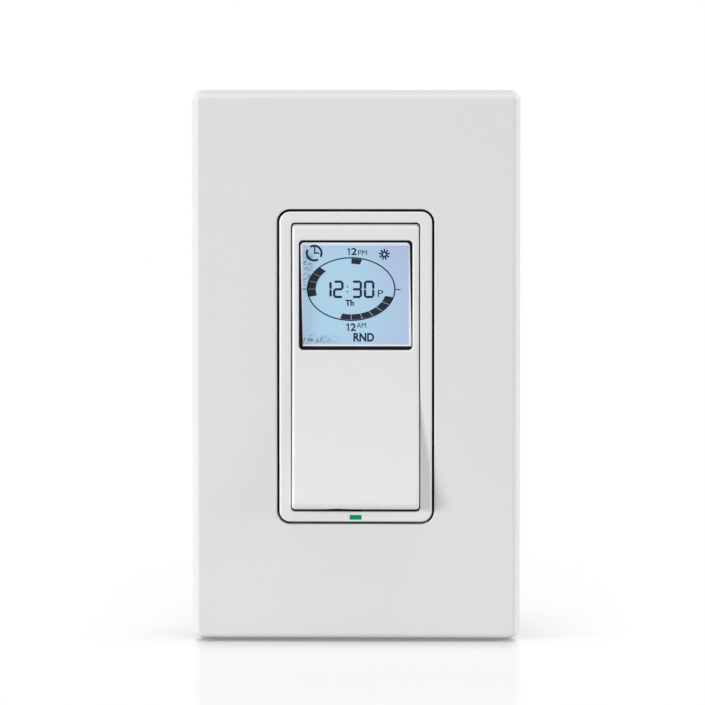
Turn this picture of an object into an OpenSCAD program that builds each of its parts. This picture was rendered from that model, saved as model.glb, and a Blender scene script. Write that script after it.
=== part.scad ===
// Timer light switch: a push pad with a display window, in a frame behind a snap-on wall plate.
// Each module is drawn facing the viewer: x to the right, y up, z out of the wall, with z = 0 on the wall.
// upright() then stands it up, so that the wall is the plane y = 0 and the front faces -y.

/* [Wall plate] */
// Width of the plate at the wall
plate_w = 69.8; // [66:0.1:90]
// Height of the plate at the wall
plate_h = 117; // [114:0.5:140]
// How far the plate's face stands off the wall
plate_depth = 7.7; // [5.6:0.1:9]
// Thickness of the plate's walls
plate_wall = 1.8; // [1.2:0.1:2.2]
// How far each side leans in from the wall to the face
plate_draft = 0.8; // [0.2:0.1:1.6]
// Radius of the plate's front edge
plate_edge_r = 1.1; // [0.3:0.1:1.5]
// Corner radius of the plate's flat face
plate_face_r = 0.4; // [0.2:0.1:4]
// Width of the opening in the plate
opening_w = 33.3; // [32:0.1:36]
// Height of the opening in the plate
opening_h = 66.8; // [64:0.1:67.5]
// Corner radius of the opening
opening_r = 2.8; // [1.6:0.1:5]
// Thickness of the lip behind the opening
lip_t = 1.4; // [0.8:0.1:2.5]
// Gap between that lip and the sub-plate
lip_gap = 0.3; // [0.1:0.1:0.8]

/* [Sub-plate] */
// Thickness of the sub-plate
subplate_t = 1.5; // [1:0.1:2]
// Gap between the sub-plate's edge and the plate's inside walls
subplate_gap = 0.4; // [0.2:0.1:1]
// Thickness of the rim that stiffens the sub-plate
rim_t = 1.2; // [0.8:0.1:2]
// Gap between that rim and the back of the plate's face
rim_gap = 0.2; // [0.1:0.1:0.6]
// Length of each snap rib inside the plate
snap_len = 14; // [6:1:24]
// Distance of the snap ribs above and below the middle
snap_y = 35; // [20:1:42]
// How far a snap rib reaches under the sub-plate
snap_bite = 0.3; // [0.1:0.1:0.6]
// Gap between a snap rib and the back of the sub-plate
snap_gap = 0.2; // [0.1:0.1:0.5]

/* [Fixing screws] */
// Distance between the two wall-box screws
box_screw_pitch = 83.34; // [82:0.02:85]
// Distance from a wall-box screw out to the plate screw
plate_screw_step = 6.75; // [6:0.05:7.5]
// Thread radius of the wall-box, plate, ground and terminal screws
screw_r = 1.75; // [1.6:0.05:1.9]
// Radius of the plain neck of the wall-box screws
neck_r = 1.5; // [1.2:0.05:1.55]
// Length of the wall-box screws behind the wall
box_screw_len = 22; // [12:1:30]
// Length of the plate screws behind the wall
plate_screw_len = 7; // [4:0.5:14]
// Head radius of these screws
head_r = 3.3; // [2.6:0.1:3.8]
// Head height of these screws
head_h = 2; // [1.2:0.1:2.6]
// Width of a driver slot
slot_w = 0.9; // [0.5:0.1:1.2]
// Depth of a driver slot
slot_d = 0.9; // [0.4:0.1:1.1]
// Radial gap of a screw in its tapped hole
thread_gap = 0.03; // [0.01:0.01:0.08]
// Side of the square retainers on the wall-box screws
retainer_w = 8.8; // [7:0.2:9.4]
// Thickness of the retainers
retainer_t = 0.4; // [0.2:0.05:0.45]
// Radial gap of a retainer on the neck of its screw
retainer_gap = 0.05; // [0.02:0.01:0.15]

/* [Strap] */
// Thickness of the mounting strap
strap_t = 1.5; // [1:0.1:2]
// How far the strap reaches past the housing at each side
strap_margin = 0.25; // [0:0.05:1]
// Width of the strap's ears
ear_w = 26; // [24:0.5:32]
// How far an ear reaches past its plate screw
ear_reach = 4.2; // [3.4:0.1:6]
// Width across the break-off wings
wing_w = 39; // [32:0.5:50]
// Height of the break-off wings
wing_h = 7; // [5:0.5:8]
// Width of the break-off grooves
groove_w = 0.8; // [0.4:0.1:1.5]
// Depth of the break-off grooves
groove_d = 0.5; // [0.2:0.1:0.8]
// Radius of the strap's outer corners
strap_r = 2; // [0.5:0.1:3]
// Gap round the front cover's collar in the strap
strap_gap = 0.25; // [0.1:0.05:0.6]
// Length of the adjusting slots for the wall-box screws
adjust_len = 8; // [5:0.5:12]
// Gap above and below the screw's neck in its slot
adjust_gap = 0.4; // [0.2:0.05:0.8]
// Ground screw, distance to the right of the middle
ground_x = 9.2; // [8.8:0.1:9.6]
// Ground screw, distance above the lower wall-box screw
ground_up = 3.2; // [2:0.1:3.6]

/* [Frame] */
// Gap between the frame and the plate's opening
frame_gap = 0.5; // [0.2:0.05:0.8]
// How far the frame's face stands above the plate's face
frame_rise = 0.3; // [0.2:0.1:3]
// Width of the frame's side borders
border_x = 2.4; // [2.2:0.05:3.4]
// Width of the frame's end borders
border_y = 2.2; // [2.1:0.05:3.4]
// Thickness of the frame's border
border_t = 1.7; // [1.5:0.05:2.2]
// Radius of the frame's outer front edge
frame_edge_r = 0.5; // [0.2:0.1:1]
// Thickness of the frame's skirt
skirt_t = 1.1; // [0.9:0.05:1.2]
// Gap between the frame's skirt and the collar inside it
fit_gap = 0.1; // [0.05:0.01:0.15]
// Gap between the frame's skirt and the strap
skirt_gap = 0.3; // [0.1:0.05:0.6]
// Length of each catch between collar and skirt
catch_len = 8; // [4:0.5:12]
// Distance of the catches above and below the middle
catch_y = 18; // [10:0.5:22]
// Height of a catch
catch_h = 1; // [0.6:0.1:1.4]
// How far a catch reaches into the skirt
catch_bite = 0.5; // [0.2:0.05:0.8]
// Gap round a catch in its window
catch_gap = 0.15; // [0.05:0.05:0.3]

/* [Push pad] */
// Gap between the pad and the frame's sides
pad_gap_x = 0.35; // [0.25:0.05:0.6]
// Gap between the pad and the frame's ends
pad_gap_y = 0.45; // [0.4:0.05:0.8]
// How far the pad's flat upper part stands above the frame
pad_rise = 0.2; // [0:0.05:0.6]
// How far the pad's lower edge stands above its flat upper part
pad_sweep = 3.4; // [1.5:0.1:5]
// Distance from the window's lower edge to the start of the sweep
sweep_start = 0.6; // [0.2:0.1:3]
// Thickness of the pad's face
pad_wall = 1.4; // [1:0.05:1.5]
// Thickness of the pad's sides
pad_side = 1.1; // [0.8:0.05:1.2]
// Radius of the pad's lower front edge
pad_edge_r = 1.1; // [0.4:0.1:1.8]
// Corner radius of the pad
pad_r = 0.8; // [0.3:0.1:2]
// Radius of the hinge bead along the pad's top
bead_r = 1.15; // [1.05:0.05:1.2]
// Radius of the hinge pin
pin_r = 0.5; // [0.4:0.05:0.55]
// How far each end of the pin reaches into the frame
pin_seat = 1.55; // [1:0.05:1.6]
// Radial gap of the pin in the frame's slots
seat_gap = 0.02; // [0.01:0.01:0.06]
// Radial gap of the pin in the pad
bore_gap = 0.05; // [0.02:0.01:0.09]
// Angle by which the pad presses in
press_angle = 0.8; // [0.4:0.1:1.2]
// Room left behind the pressed pad
press_room = 0.55; // [0.4:0.05:1]
// Thickness of the ribs inside the pad
rib_t = 1; // [0.6:0.1:1.6]
// Distance of the ribs from the middle
rib_x = 6; // [4:0.5:9]
// Room between the ribs and the keys
rib_room = 1.6; // [1.2:0.1:2.4]
// Width of the nail notch under the pad's lower edge
notch_w = 6; // [4:0.5:10]
// Depth of the nail notch
notch_d = 0.5; // [0.3:0.1:1]
// Nail notch, distance to the left of the middle
notch_x = 3.6; // [0:0.1:7]

/* [Display] */
// Width of the display glass
lcd_w = 22.9; // [16:0.1:22.9]
// Height of the display glass
lcd_h = 21.9; // [16:0.1:22]
// Thickness of the display glass
lcd_t = 1.9; // [1.2:0.1:2.4]
// Thickness of the backlight
backlight_t = 2.5; // [2:0.1:2.6]
// Gap round the display glass
lcd_gap = 0.05; // [0.02:0.01:0.1]
// Width of the display holder's wall beside the glass
holder_t = 0.5; // [0.4:0.05:0.6]
// How far the holder reaches behind the pad above and below
holder_lap = 0.5; // [0.2:0.1:0.6]
// How far the holder stands above the glass
holder_rise = 0.2; // [0:0.05:0.2]
// Gap between the holder and the edge of the window
window_gap = 0.04; // [0.02:0.01:0.1]
// Corner radius of the window
window_r = 0.9; // [0.3:0.1:2]
// Distance from the pad's top edge to the window
window_top = 3.6; // [3.5:0.05:5]
// Thickness of each rubber contact strip
strip_t = 1.6; // [1:0.1:2.4]
// Length of each rubber contact strip
strip_len = 20; // [10:0.5:20]
// Gap between a contact strip and the backlight
strip_gap = 0.4; // [0.2:0.1:1]

/* [Keys] */
// Distance between neighbouring keys
key_pitch = 7.2; // [7:0.1:7.4]
// Distance from the pad's plunger up to the middle key
key_above = 13.8; // [13.4:0.1:14.4]
// Width of a key
key_w = 5.4; // [4:0.1:5.5]
// Corner radius of a key's face
key_r = 0.8; // [0.3:0.1:1.5]
// Radius of a key's front edge
key_edge_r = 0.4; // [0.2:0.05:0.6]
// How far a key stands above the deck
key_rise = 0.8; // [0.4:0.05:0.9]
// Gap between a key and the deck
key_gap = 0.15; // [0.1:0.05:0.3]
// How far a key's flange reaches under the deck
key_flange = 0.4; // [0.25:0.05:0.6]
// Thickness of a key's flange
flange_t = 0.4; // [0.3:0.05:0.8]
// Gap between a key's flange and the deck
flange_gap = 0.1; // [0.05:0.05:0.3]
// How far a key travels
key_travel = 0.35; // [0.2:0.05:0.4]
// Width of a key's switch
switch_w = 5.2; // [4.5:0.1:6]
// Height of a key's switch
switch_h = 1.4; // [1.3:0.1:2]
// How far a switch plunger stands above its switch
plunger_rise = 0.5; // [0.45:0.05:0.8]
// Radius of a key's plunger
key_plunger_r = 1.2; // [0.8:0.1:1.6]
// Radial gap of a plunger in its guide
plunger_gap = 0.08; // [0.03:0.01:0.1]
// Thickness of the floor in a switch
switch_floor = 0.3; // [0.2:0.05:0.4]
// Height of the pad's switch
pad_switch_h = 1.9; // [1.8:0.05:2.2]
// Radius of the pad's plunger
pad_plunger_r = 1.5; // [1:0.1:1.8]
// How far the pad's plunger stands above the deck
pad_plunger_rise = 1; // [0.9:0.05:1.1]
// Distance from the pad's lower edge to its plunger
pad_plunger_up = 6.05; // [5.8:0.05:6.3]
// Gap between the pad's post and its plunger
post_gap = 0.1; // [0.05:0.05:0.2]

/* [Indicator] */
// Width of the light pipe
pipe_w = 2.43; // [1.4:0.01:4]
// Height of the light pipe's face
pipe_h = 0.9; // [0.6:0.05:1]
// Thickness of the light pipe's crank
pipe_t = 1.2; // [0.8:0.05:1.2]
// Gap round the light pipe
pipe_gap = 0.05; // [0.03:0.01:0.1]
// Distance from the pad's lower edge to the lamp
lamp_up = 1.65; // [1.4:0.05:2]
// Height of the lamp
lamp_h = 1; // [0.6:0.1:1.2]
// Length of the lamp's body
lamp_w = 2; // [1.2:0.1:3]
// Gap between the lamp and the light pipe
lamp_gap = 0.1; // [0.05:0.05:0.3]

/* [Front cover and boards] */
// Thickness of the front cover's deck
deck_t = 1.2; // [0.8:0.1:1.4]
// Room between the hinge bead and the deck
deck_room = 0.7; // [0.4:0.05:1.2]
// Thickness of the front cover's flange
cover_t = 2; // [1.2:0.1:3]
// Thickness of both circuit boards
board_t = 1.6; // [1:0.1:2]
// Gap round the control board
board_gap = 0.3; // [0.1:0.05:0.6]
// Radius of the posts that hold the control board
post_r = 1.3; // [1.1:0.05:1.35]
// Distance of those posts from the collar's inside corner
post_inset = 2; // [1.9:0.05:2.1]
// Thread radius of the board screws
board_screw_r = 0.7; // [0.5:0.05:0.8]
// Head radius of the board screws
board_head_r = 1.4; // [1:0.05:1.5]
// Head height of the board screws
board_head_h = 0.9; // [0.6:0.1:1.2]
// Distance of the power board behind the wall
power_back = 12; // [11:0.5:14]
// Gap between the power board and the terminal pockets
power_gap = 0.5; // [0.3:0.1:2]

/* [Rear housing] */
// Width of the housing at the front
housing_w = 44; // [43:0.1:48]
// How far the housing reaches past the collar above and below
housing_margin = 2.1; // [1.8:0.1:2.4]
// Depth of the housing behind the wall
housing_depth = 31; // [30:0.5:45]
// Thickness of the housing's walls
housing_wall = 2; // [1.4:0.1:2.6]
// How far each side leans in towards the back
housing_draft = 0.5; // [0.2:0.1:1]
// Radius of the housing's back edge
housing_edge_r = 0.8; // [0.3:0.1:1.5]
// Corner radius of the housing's back face
housing_face_r = 1.2; // [0.5:0.1:3]
// Radius of the housing's screw posts
screw_post_r = 2.9; // [2.6:0.1:3]
// Thread radius of the housing screws
housing_screw_r = 1.25; // [1:0.05:1.3]
// Radial gap of the housing screws in their posts
housing_screw_gap = 0.2; // [0.1:0.05:0.3]
// Head radius of the housing screws
housing_head_r = 2; // [1.6:0.1:2.1]
// Head height of the housing screws
housing_head_h = 1.6; // [1:0.1:2]
// How deep the housing screws' heads lie in the back
head_sink = 0.6; // [0.2:0.1:1.5]
// Radius of the posts that carry the power board
power_post_r = 1.8; // [1.4:0.1:2]

/* [Terminals] */
// Distance of the terminals above and below the middle
terminal_y = 13; // [12:0.5:14]
// Height of a terminal pocket
pocket_h = 11; // [9.5:0.1:12]
// Width of a terminal pocket from front to back
pocket_w = 13; // [12:0.1:13.5]
// Depth of a terminal pocket
pocket_d = 6.5; // [6.2:0.1:7]
// Distance of the pockets behind the wall
pocket_back = 9; // [8:0.1:9.8]
// Thickness of the walls round a pocket
pocket_wall = 1.4; // [1:0.1:1.6]
// Thickness of the terminal plates
terminal_t = 1.2; // [0.8:0.1:1.4]
// Gap between a terminal plate and its pocket
terminal_gap = 0.5; // [0.2:0.1:0.8]
// Width of the wire gap under a clamp
wire_gap = 1.2; // [0.8:0.1:1.3]
// Thickness of the clamps
clamp_t = 1; // [0.8:0.1:1.1]
// Side of the square clamps
clamp_w = 8.4; // [7.4:0.1:9]
// Radial gap of a screw in its clamp and in the pocket floor
clamp_gap = 0.2; // [0.1:0.05:0.3]
// Width of the tails that join the terminals to the power board
tail_w = 5; // [3:0.1:6]
// Thickness of those tails
tail_t = 0.8; // [0.5:0.1:0.9]
// How far a tail lies over the power board
tail_lap = 1.8; // [1:0.1:2.4]

/* [Hidden] */
$fn = 64;
// How far a cutting shape runs past the surface, and how far joined shapes run into each other
cut = 1;
join = 0.2;
// Steps in a rounded edge, round the hinge bead and along the pad's sweep
edge_steps = 6;
bead_steps = 16;
sweep_steps = 24;
// Smallest corner radius of the collar
least_r = 0.4;

// Wall plate and sub-plate
cavity_w = plate_w - 2 * (plate_draft + plate_wall);
cavity_h = plate_h - 2 * (plate_draft + plate_wall);
cavity_r = plate_face_r + plate_edge_r;
cavity_z = plate_depth - plate_wall;
subplate_z = strap_t + subplate_t;
subplate_w = cavity_w - 2 * subplate_gap;
subplate_h = cavity_h - 2 * subplate_gap;
box_y = box_screw_pitch / 2;
plate_screw_y = box_y + plate_screw_step;
head_room = 1.6;
sink_gap = 0.05;

// Frame and the collar inside it
frame_w = opening_w - 2 * frame_gap;
frame_h = opening_h - 2 * frame_gap;
frame_r = opening_r - frame_gap;
frame_z = plate_depth + frame_rise;
border_z = frame_z - border_t;
frame_back = strap_t + skirt_gap;
well_w = frame_w - 2 * border_x;
well_h = frame_h - 2 * border_y;
well_r = pad_r;
collar_w = frame_w - 2 * (skirt_t + fit_gap);
collar_h = frame_h - 2 * (skirt_t + fit_gap);
collar_r = max(frame_r - skirt_t - fit_gap, least_r);
collar_z = border_z - fit_gap;
catch_z = (frame_back + border_z) / 2 - catch_h;

// Push pad and its hinge
pad_w = well_w - 2 * pad_gap_x;
pad_h = well_h - 2 * pad_gap_y;
pad_top = pad_h / 2;
pad_low = -pad_h / 2;
pad_z = frame_z + pad_rise;
hinge_y = pad_top - bead_r;
hinge_z = pad_z - bead_r;
press_travel = (hinge_y - pad_low) * sin(press_angle);

// Display window
holder_w = lcd_w + 2 * (lcd_gap + holder_t);
window_w = holder_w + 2 * window_gap;
window_h = lcd_h + 2 * (lcd_gap + holder_t + window_gap);
window_low = pad_top - window_top - window_h;
window_mid = pad_top - window_top - window_h / 2;
holder_h = window_h + 2 * holder_lap;

// Levels from the pad back to the control board
deck_z = hinge_z - bead_r - deck_room;
deck_back = deck_z - deck_t;
key_base = deck_back - flange_gap - flange_t;
key_z = deck_z + key_rise;
board_z = key_base - plunger_rise - switch_h;
board_back = board_z - board_t;
lcd_back = board_z + backlight_t;
lcd_z = lcd_back + lcd_t;
pad_plunger_z = deck_z + pad_plunger_rise;
pad_plunger_y = pad_low + pad_plunger_up;
post_z = pad_plunger_z + post_gap;
skirt_z = deck_z + press_room + press_travel;
rib_z = key_z + rib_room;

// The pad's face is flat down to sweep_y, then follows an arc about [sweep_y, sweep_zc]
sweep_y = window_low - sweep_start;
sweep_len = sweep_y - pad_low;
sweep_R = (sweep_len * sweep_len + pad_sweep * pad_sweep) / (2 * pad_sweep);
sweep_zc = pad_z + sweep_R;
edge_y = pad_low + pad_edge_r;
edge_z = sweep_zc - sqrt(pow(sweep_R + pad_edge_r, 2) - pow(sweep_y - edge_y, 2));
edge_angle = atan2(sweep_zc - edge_z, sweep_y - edge_y);

// Keys, in a cross about the middle one
key_mid_y = pad_plunger_y + key_above;
KEY_UP = [0, key_mid_y + key_pitch];
KEY_DOWN = [0, key_mid_y - key_pitch];
KEY_LEFT = [-key_pitch, key_mid_y];
KEY_RIGHT = [key_pitch, key_mid_y];
KEY_MID = [0, key_mid_y];
KEYS = [KEY_UP, KEY_DOWN, KEY_LEFT, KEY_RIGHT, KEY_MID];

// Light pipe
pipe_y = -(well_h + border_y) / 2;
lamp_y = pad_low + lamp_up;
pipe_top = deck_z + join;
pipe_foot = board_z + lamp_h + lamp_gap;

// Boards and rear housing
board_w = well_w - 2 * board_gap;
board_h = well_h - 2 * board_gap;
post_x = well_w / 2 - post_inset;
post_y = well_h / 2 - post_inset;
housing_h = collar_h + 2 * housing_margin;
housing_base_r = housing_face_r + housing_draft + housing_edge_r;
housing_in_w = housing_w - 2 * (housing_wall + housing_draft);
housing_in_h = housing_h - 2 * (housing_wall + housing_draft);
screw_inset = screw_post_r + housing_draft + join;
screw_x = housing_w / 2 - screw_inset;
screw_y = housing_h / 2 - screw_inset;
pocket_floor = housing_w / 2 - pocket_d;
pocket_in = pocket_floor - pocket_wall;
power_w = 2 * (pocket_in - power_gap);
power_h = housing_in_h - 2 * board_gap;
power_z = -power_back;
power_rear = power_z - board_t;
power_post_x = power_w / 2 - power_post_r - board_gap;
power_post_y = power_h / 2 - power_post_r - board_gap;
terminal_z = -pocket_back - pocket_w / 2;

// Draws its children standing upright against the wall
module upright() {
  rotate([90, 0, 0]) children();
}

// Repeats its children on the left and on the right
module both_sides() {
  children();
  mirror([1, 0, 0]) children();
}

// Repeats its children above and below the middle
module both_ends() {
  children();
  mirror([0, 1, 0]) children();
}

// A flat outline with round corners
module round_rect(w, h, r) {
  square([w - 2 * r, h], center = true);
  square([w, h - 2 * r], center = true);
  for (x = [-1, 1], y = [-1, 1])
    translate([x * (w / 2 - r), y * (h / 2 - r)]) circle(r);
}

// A panel with round corners between two levels
module panel(w, h, r, z0, z1) {
  translate([0, 0, z0]) linear_extrude(z1 - z0) round_rect(w, h, r);
}

// A block given by its middle in x and y, its width and height, and two levels
module block(x, y, w, h, z0, z1) {
  translate([x - w / 2, y - h / 2, z0]) cube([w, h, z1 - z0]);
}

// A straight rod between two levels
module rod(x, y, r, z0, z1) {
  translate([x, y, z0]) cylinder(r = r, h = z1 - z0);
}

// Extrudes an outline drawn in y and z by a width along x
module along_x(w) {
  rotate([90, 0, 90]) linear_extrude(w, center = true) children();
}

// Points on an arc from angle a0 to a1, in n steps
function arc(cx, cy, r, a0, a1, n) =
  [for (i = [0:n]) let (a = a0 + (a1 - a0) * i / n) [cx + r * cos(a), cy + r * sin(a)]];

function mirrored(points) = [for (i = [len(points) - 1:-1:0]) [-points[i][0], points[i][1]]];
function shifted(points, dx) = [for (p = points) [p[0] + dx, p[1]]];

// A slab with round corners, leaning sides and a round front edge, from z = 0 up to z = d
module soft_slab(w, h, d, face_r, draft, edge) {
  base_r = face_r + draft + edge;
  side = concat([[base_r, 0]], arc(face_r, d - edge, edge, 0, 90, edge_steps));
  cx = w / 2 - base_r;
  cy = h / 2 - base_r;
  across = shifted(side, cx);
  up = shifted(side, cy);
  rotate([90, 0, 0]) linear_extrude(2 * cy, center = true) polygon(concat(across, mirrored(across)));
  along_x(2 * cx) polygon(concat(up, mirrored(up)));
  for (corner = [[1, 1, 0], [-1, 1, 90], [-1, -1, 180], [1, -1, 270]])
    translate([corner[0] * cx, corner[1] * cy, 0])
      rotate([0, 0, corner[2]])
        rotate_extrude(angle = 90) polygon(concat([[0, 0]], side, [[0, d]]));
}

// A round cap with a round front edge, from z = 0 up to z = d
module soft_disc(r, d, edge) {
  side = arc(r - edge, d - edge, edge, 0, 90, edge_steps);
  rotate_extrude() polygon(concat([[0, 0], [r, 0]], side, [[0, d]]));
}

// A low domed screw head with a driver slot, its seat on z = 0
module slotted_head(r, h) {
  crown = h / 3;
  difference() {
    union() {
      cylinder(r = r, h = h - crown);
      translate([0, 0, h - crown]) cylinder(r1 = r, r2 = r - crown, h = crown);
    }
    block(0, 0, 2 * r + cut, slot_w, h - slot_d, h + cut);
  }
}

// The snap-on plate: a leaning shell, open at the back, with a lip round its opening and snap ribs
module wall_plate() {
  color("#e9e8e4") upright() difference() {
    union() {
      difference() {
        soft_slab(plate_w, plate_h, plate_depth, plate_face_r, plate_draft, plate_edge_r);
        panel(cavity_w, cavity_h, cavity_r, -cut, cavity_z);
      }
      panel(opening_w + 2 * lip_t, opening_h + 2 * lip_t, opening_r + lip_t,
            subplate_z + lip_gap, cavity_z + join);
      both_sides() both_ends() snap_rib();
    }
    panel(opening_w, opening_h, opening_r, -cut, plate_depth + cut);
  }
}

module snap_rib() {
  wall_x = cavity_w / 2;
  tip_x = wall_x - subplate_gap - snap_bite;
  top_z = strap_t - snap_gap;
  translate([0, snap_y + snap_len / 2, 0]) rotate([90, 0, 0]) linear_extrude(snap_len)
    polygon([[wall_x + join, top_z], [tip_x, top_z], [wall_x, join], [wall_x + join, join]]);
}

// The sub-plate that is screwed to the strap and carries the snap-on plate
module plate_subframe() {
  rim_top = cavity_z - rim_gap;
  brace_x = head_r + head_room + 2 * rim_t;
  brace_y = (opening_h / 2 + subplate_h / 2) / 2;
  brace_h = subplate_h / 2 - opening_h / 2 - 2 * lip_t;
  color("#d9d8d3") upright() difference() {
    union() {
      panel(subplate_w, subplate_h, cavity_r, strap_t, subplate_z);
      difference() {
        panel(subplate_w, subplate_h, cavity_r, subplate_z - join, rim_top);
        panel(subplate_w - 2 * rim_t, subplate_h - 2 * rim_t, cavity_r / 2, subplate_z - cut, rim_top + cut);
      }
      both_sides() both_ends()
        block(brace_x, brace_y + lip_t, rim_t, brace_h, subplate_z - join, rim_top);
    }
    panel(opening_w, opening_h, opening_r, 0, rim_top + cut);
    both_ends() {
      rod(0, box_y, head_r + head_room, 0, rim_top + cut);
      translate([0, plate_screw_y, 0]) plate_screw_form(sink_gap, head_r + sink_gap);
    }
  }
}

// A flat-head plate screw grown by a gap, its head flush with the sub-plate and top_r in radius there
module plate_screw_form(gap, top_r) {
  cone = min(head_r - screw_r, subplate_t - join);
  translate([0, 0, -plate_screw_len]) cylinder(r = screw_r + gap, h = plate_screw_len + subplate_z);
  translate([0, 0, subplate_z - cone]) cylinder(r1 = screw_r + gap, r2 = top_r, h = cone);
}

module plate_screws() {
  color("#dddcd8") upright() both_ends() translate([0, plate_screw_y, 0]) difference() {
    plate_screw_form(0, head_r);
    block(0, 0, 2 * head_r + cut, slot_w, subplate_z - slot_d, subplate_z + cut);
  }
}

// The frame round the pad: a border with a skirt behind it that snaps over the front cover's collar
module bezel_frame() {
  slot_r = pin_r + seat_gap;
  face_r = max(frame_r - frame_edge_r, join);
  color("#eeede9") upright() difference() {
    translate([0, 0, frame_back])
      soft_slab(frame_w, frame_h, frame_z - frame_back, face_r, 0, frame_edge_r);
    panel(well_w, well_h, well_r, frame_back - cut, frame_z + cut);
    panel(frame_w - 2 * skirt_t, frame_h - 2 * skirt_t, collar_r + fit_gap, frame_back - cut, border_z);
    translate([0, hinge_y, hinge_z]) rotate([0, 90, 0])
      cylinder(r = slot_r, h = well_w + 2 * (pin_seat + seat_gap), center = true);
    block(0, hinge_y, well_w + 2 * (pin_seat + seat_gap), 2 * slot_r, border_z - cut, hinge_z);
    both_ends() block(0, catch_y, frame_w + cut, catch_len + 2 * catch_gap,
                      catch_z - catch_gap, catch_z + catch_h + catch_gap);
    block(0, pipe_y, pipe_w + 2 * pipe_gap, pipe_h + 2 * pipe_gap, frame_back - cut, frame_z + cut);
  }
}

// The pad's side outline, in y and z
function pad_outline() = concat(
  [[pad_low, skirt_z]],
  arc(hinge_y, hinge_z, bead_r, -90, 90, bead_steps),
  arc(sweep_y, sweep_zc, sweep_R, 270, edge_angle + 180, sweep_steps),
  arc(edge_y, edge_z, pad_edge_r, edge_angle, 180, edge_steps));

// The hollow behind the pad's face, in y and z
function pad_hollow() =
  let (y0 = pad_low + pad_side,
       y1 = hinge_y - bead_r - join,
       hollow_R = sweep_R + pad_wall,
       low = 270 - asin((sweep_y - y0) / hollow_R))
  concat([[y0, 0], [y1, 0], [y1, pad_z - pad_wall]],
         arc(sweep_y, sweep_zc, hollow_R, 270, low, sweep_steps));

// Level of the pad's face at a height y on its sweep
function pad_face(y) = sweep_zc - sqrt(pow(sweep_R, 2) - pow(sweep_y - y, 2));

// The push pad: one moulding with the window, a hinge bead, ribs, a post for its switch and a nail notch
module push_pad() {
  notch_R = (notch_w * notch_w / 4 + notch_d * notch_d) / (2 * notch_d);
  post_top = pad_face(pad_plunger_y) - pad_wall / 2;
  color("#f0efec") upright() {
    difference() {
      intersection() {
        along_x(pad_w) polygon(pad_outline());
        panel(pad_w, pad_h, pad_r, 0, pad_z + 2 * pad_sweep);
      }
      difference() {
        along_x(pad_w - 2 * pad_side) polygon(pad_hollow());
        both_sides() block(rib_x, 0, rib_t, pad_h, rib_z, pad_z + 2 * pad_sweep);
      }
      translate([0, window_mid, 0]) panel(window_w, window_h, window_r, 0, pad_z + cut);
      translate([0, hinge_y, hinge_z]) rotate([0, 90, 0])
        cylinder(r = pin_r + bore_gap, h = pad_w + cut, center = true);
      translate([-notch_x, pad_low + notch_d - notch_R, edge_z]) sphere(notch_R);
    }
    rod(0, pad_plunger_y, pad_plunger_r, post_z, post_top);
  }
}

module pad_hinge_pin() {
  color("#303032") upright() translate([0, hinge_y, hinge_z]) rotate([0, 90, 0])
    cylinder(r = pin_r, h = well_w + 2 * pin_seat, center = true);
}

// The front cover: a flange behind the strap, a collar through it and a deck round the display and keys
module front_cover() {
  nub_w = 2 * pin_r - join;
  color("#34363a") upright() difference() {
    union() {
      panel(housing_w, housing_h, housing_base_r, -cover_t, 0);
      panel(collar_w, collar_h, collar_r, -cover_t, collar_z);
      both_sides()
        block((well_w + collar_w) / 4, hinge_y, (collar_w - well_w) / 2, nub_w,
              collar_z - join, hinge_z - pin_r - sink_gap);
      both_ends()
        block(0, catch_y, collar_w + 2 * (fit_gap + catch_bite), catch_len, catch_z, catch_z + catch_h);
    }
    difference() {
      panel(well_w, well_h, well_r, -cover_t - cut, collar_z + cut);
      block(0, 0, collar_w, collar_h, deck_back, deck_z);
      both_sides() both_ends() rod(post_x, post_y, post_r, board_z, deck_z);
    }
    block(0, window_mid, holder_w + 2 * key_gap, holder_h + 2 * key_gap, deck_back - cut, deck_z + cut);
    for (key = KEYS)
      if (key != KEY_MID)
        translate([key[0], key[1], 0]) panel(key_w + 2 * key_gap, key_w + 2 * key_gap,
                                             key_r + key_edge_r + key_gap, deck_back - cut, deck_z + cut);
    rod(0, key_mid_y, key_w / 2 + key_gap, deck_back - cut, deck_z + cut);
    rod(0, pad_plunger_y, pad_plunger_r + plunger_gap, deck_back - cut, deck_z + cut);
    both_sides() both_ends() {
      rod(post_x, post_y, board_screw_r + thread_gap, board_z - cut, deck_back);
      rod(screw_x, screw_y, housing_screw_r + housing_screw_gap, -cover_t - cut, cut);
    }
    pipe_channel();
  }
}

// The way for the light pipe through the deck and the collar
module pipe_channel() {
  y0 = -collar_h / 2 - cut;
  y1 = lamp_y + pipe_t / 2 + pipe_gap;
  block(0, (y0 + y1) / 2, pipe_w + 2 * pipe_gap, y1 - y0, deck_back - cut / 2, collar_z + cut);
}

// The display stack: a black holder on the control board round the glass, its backlight and contacts
module lcd_frame() {
  color("#1d1e20") upright() translate([0, window_mid, 0]) difference() {
    panel(holder_w, holder_h, holder_t, board_z, lcd_z + holder_rise);
    block(0, 0, lcd_w + 2 * lcd_gap, lcd_h + 2 * lcd_gap, board_z - cut, lcd_z + holder_rise + cut);
  }
}

module lcd_panel() {
  color("#a9c6e6") upright() block(0, window_mid, lcd_w, lcd_h, lcd_back, lcd_z);
}

module backlight() {
  backlight_h = lcd_h - 2 * (strip_t + 2 * strip_gap);
  color("#e8f1fa") upright() block(0, window_mid, lcd_w - 2 * strip_gap, backlight_h, board_z, lcd_back);
}

module zebra_strips() {
  strip_y = lcd_h / 2 - strip_gap - strip_t / 2;
  color("#4d4f52") upright() translate([0, window_mid, 0]) both_ends()
    block(0, strip_y, strip_len, strip_t, board_z, lcd_back);
}

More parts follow.
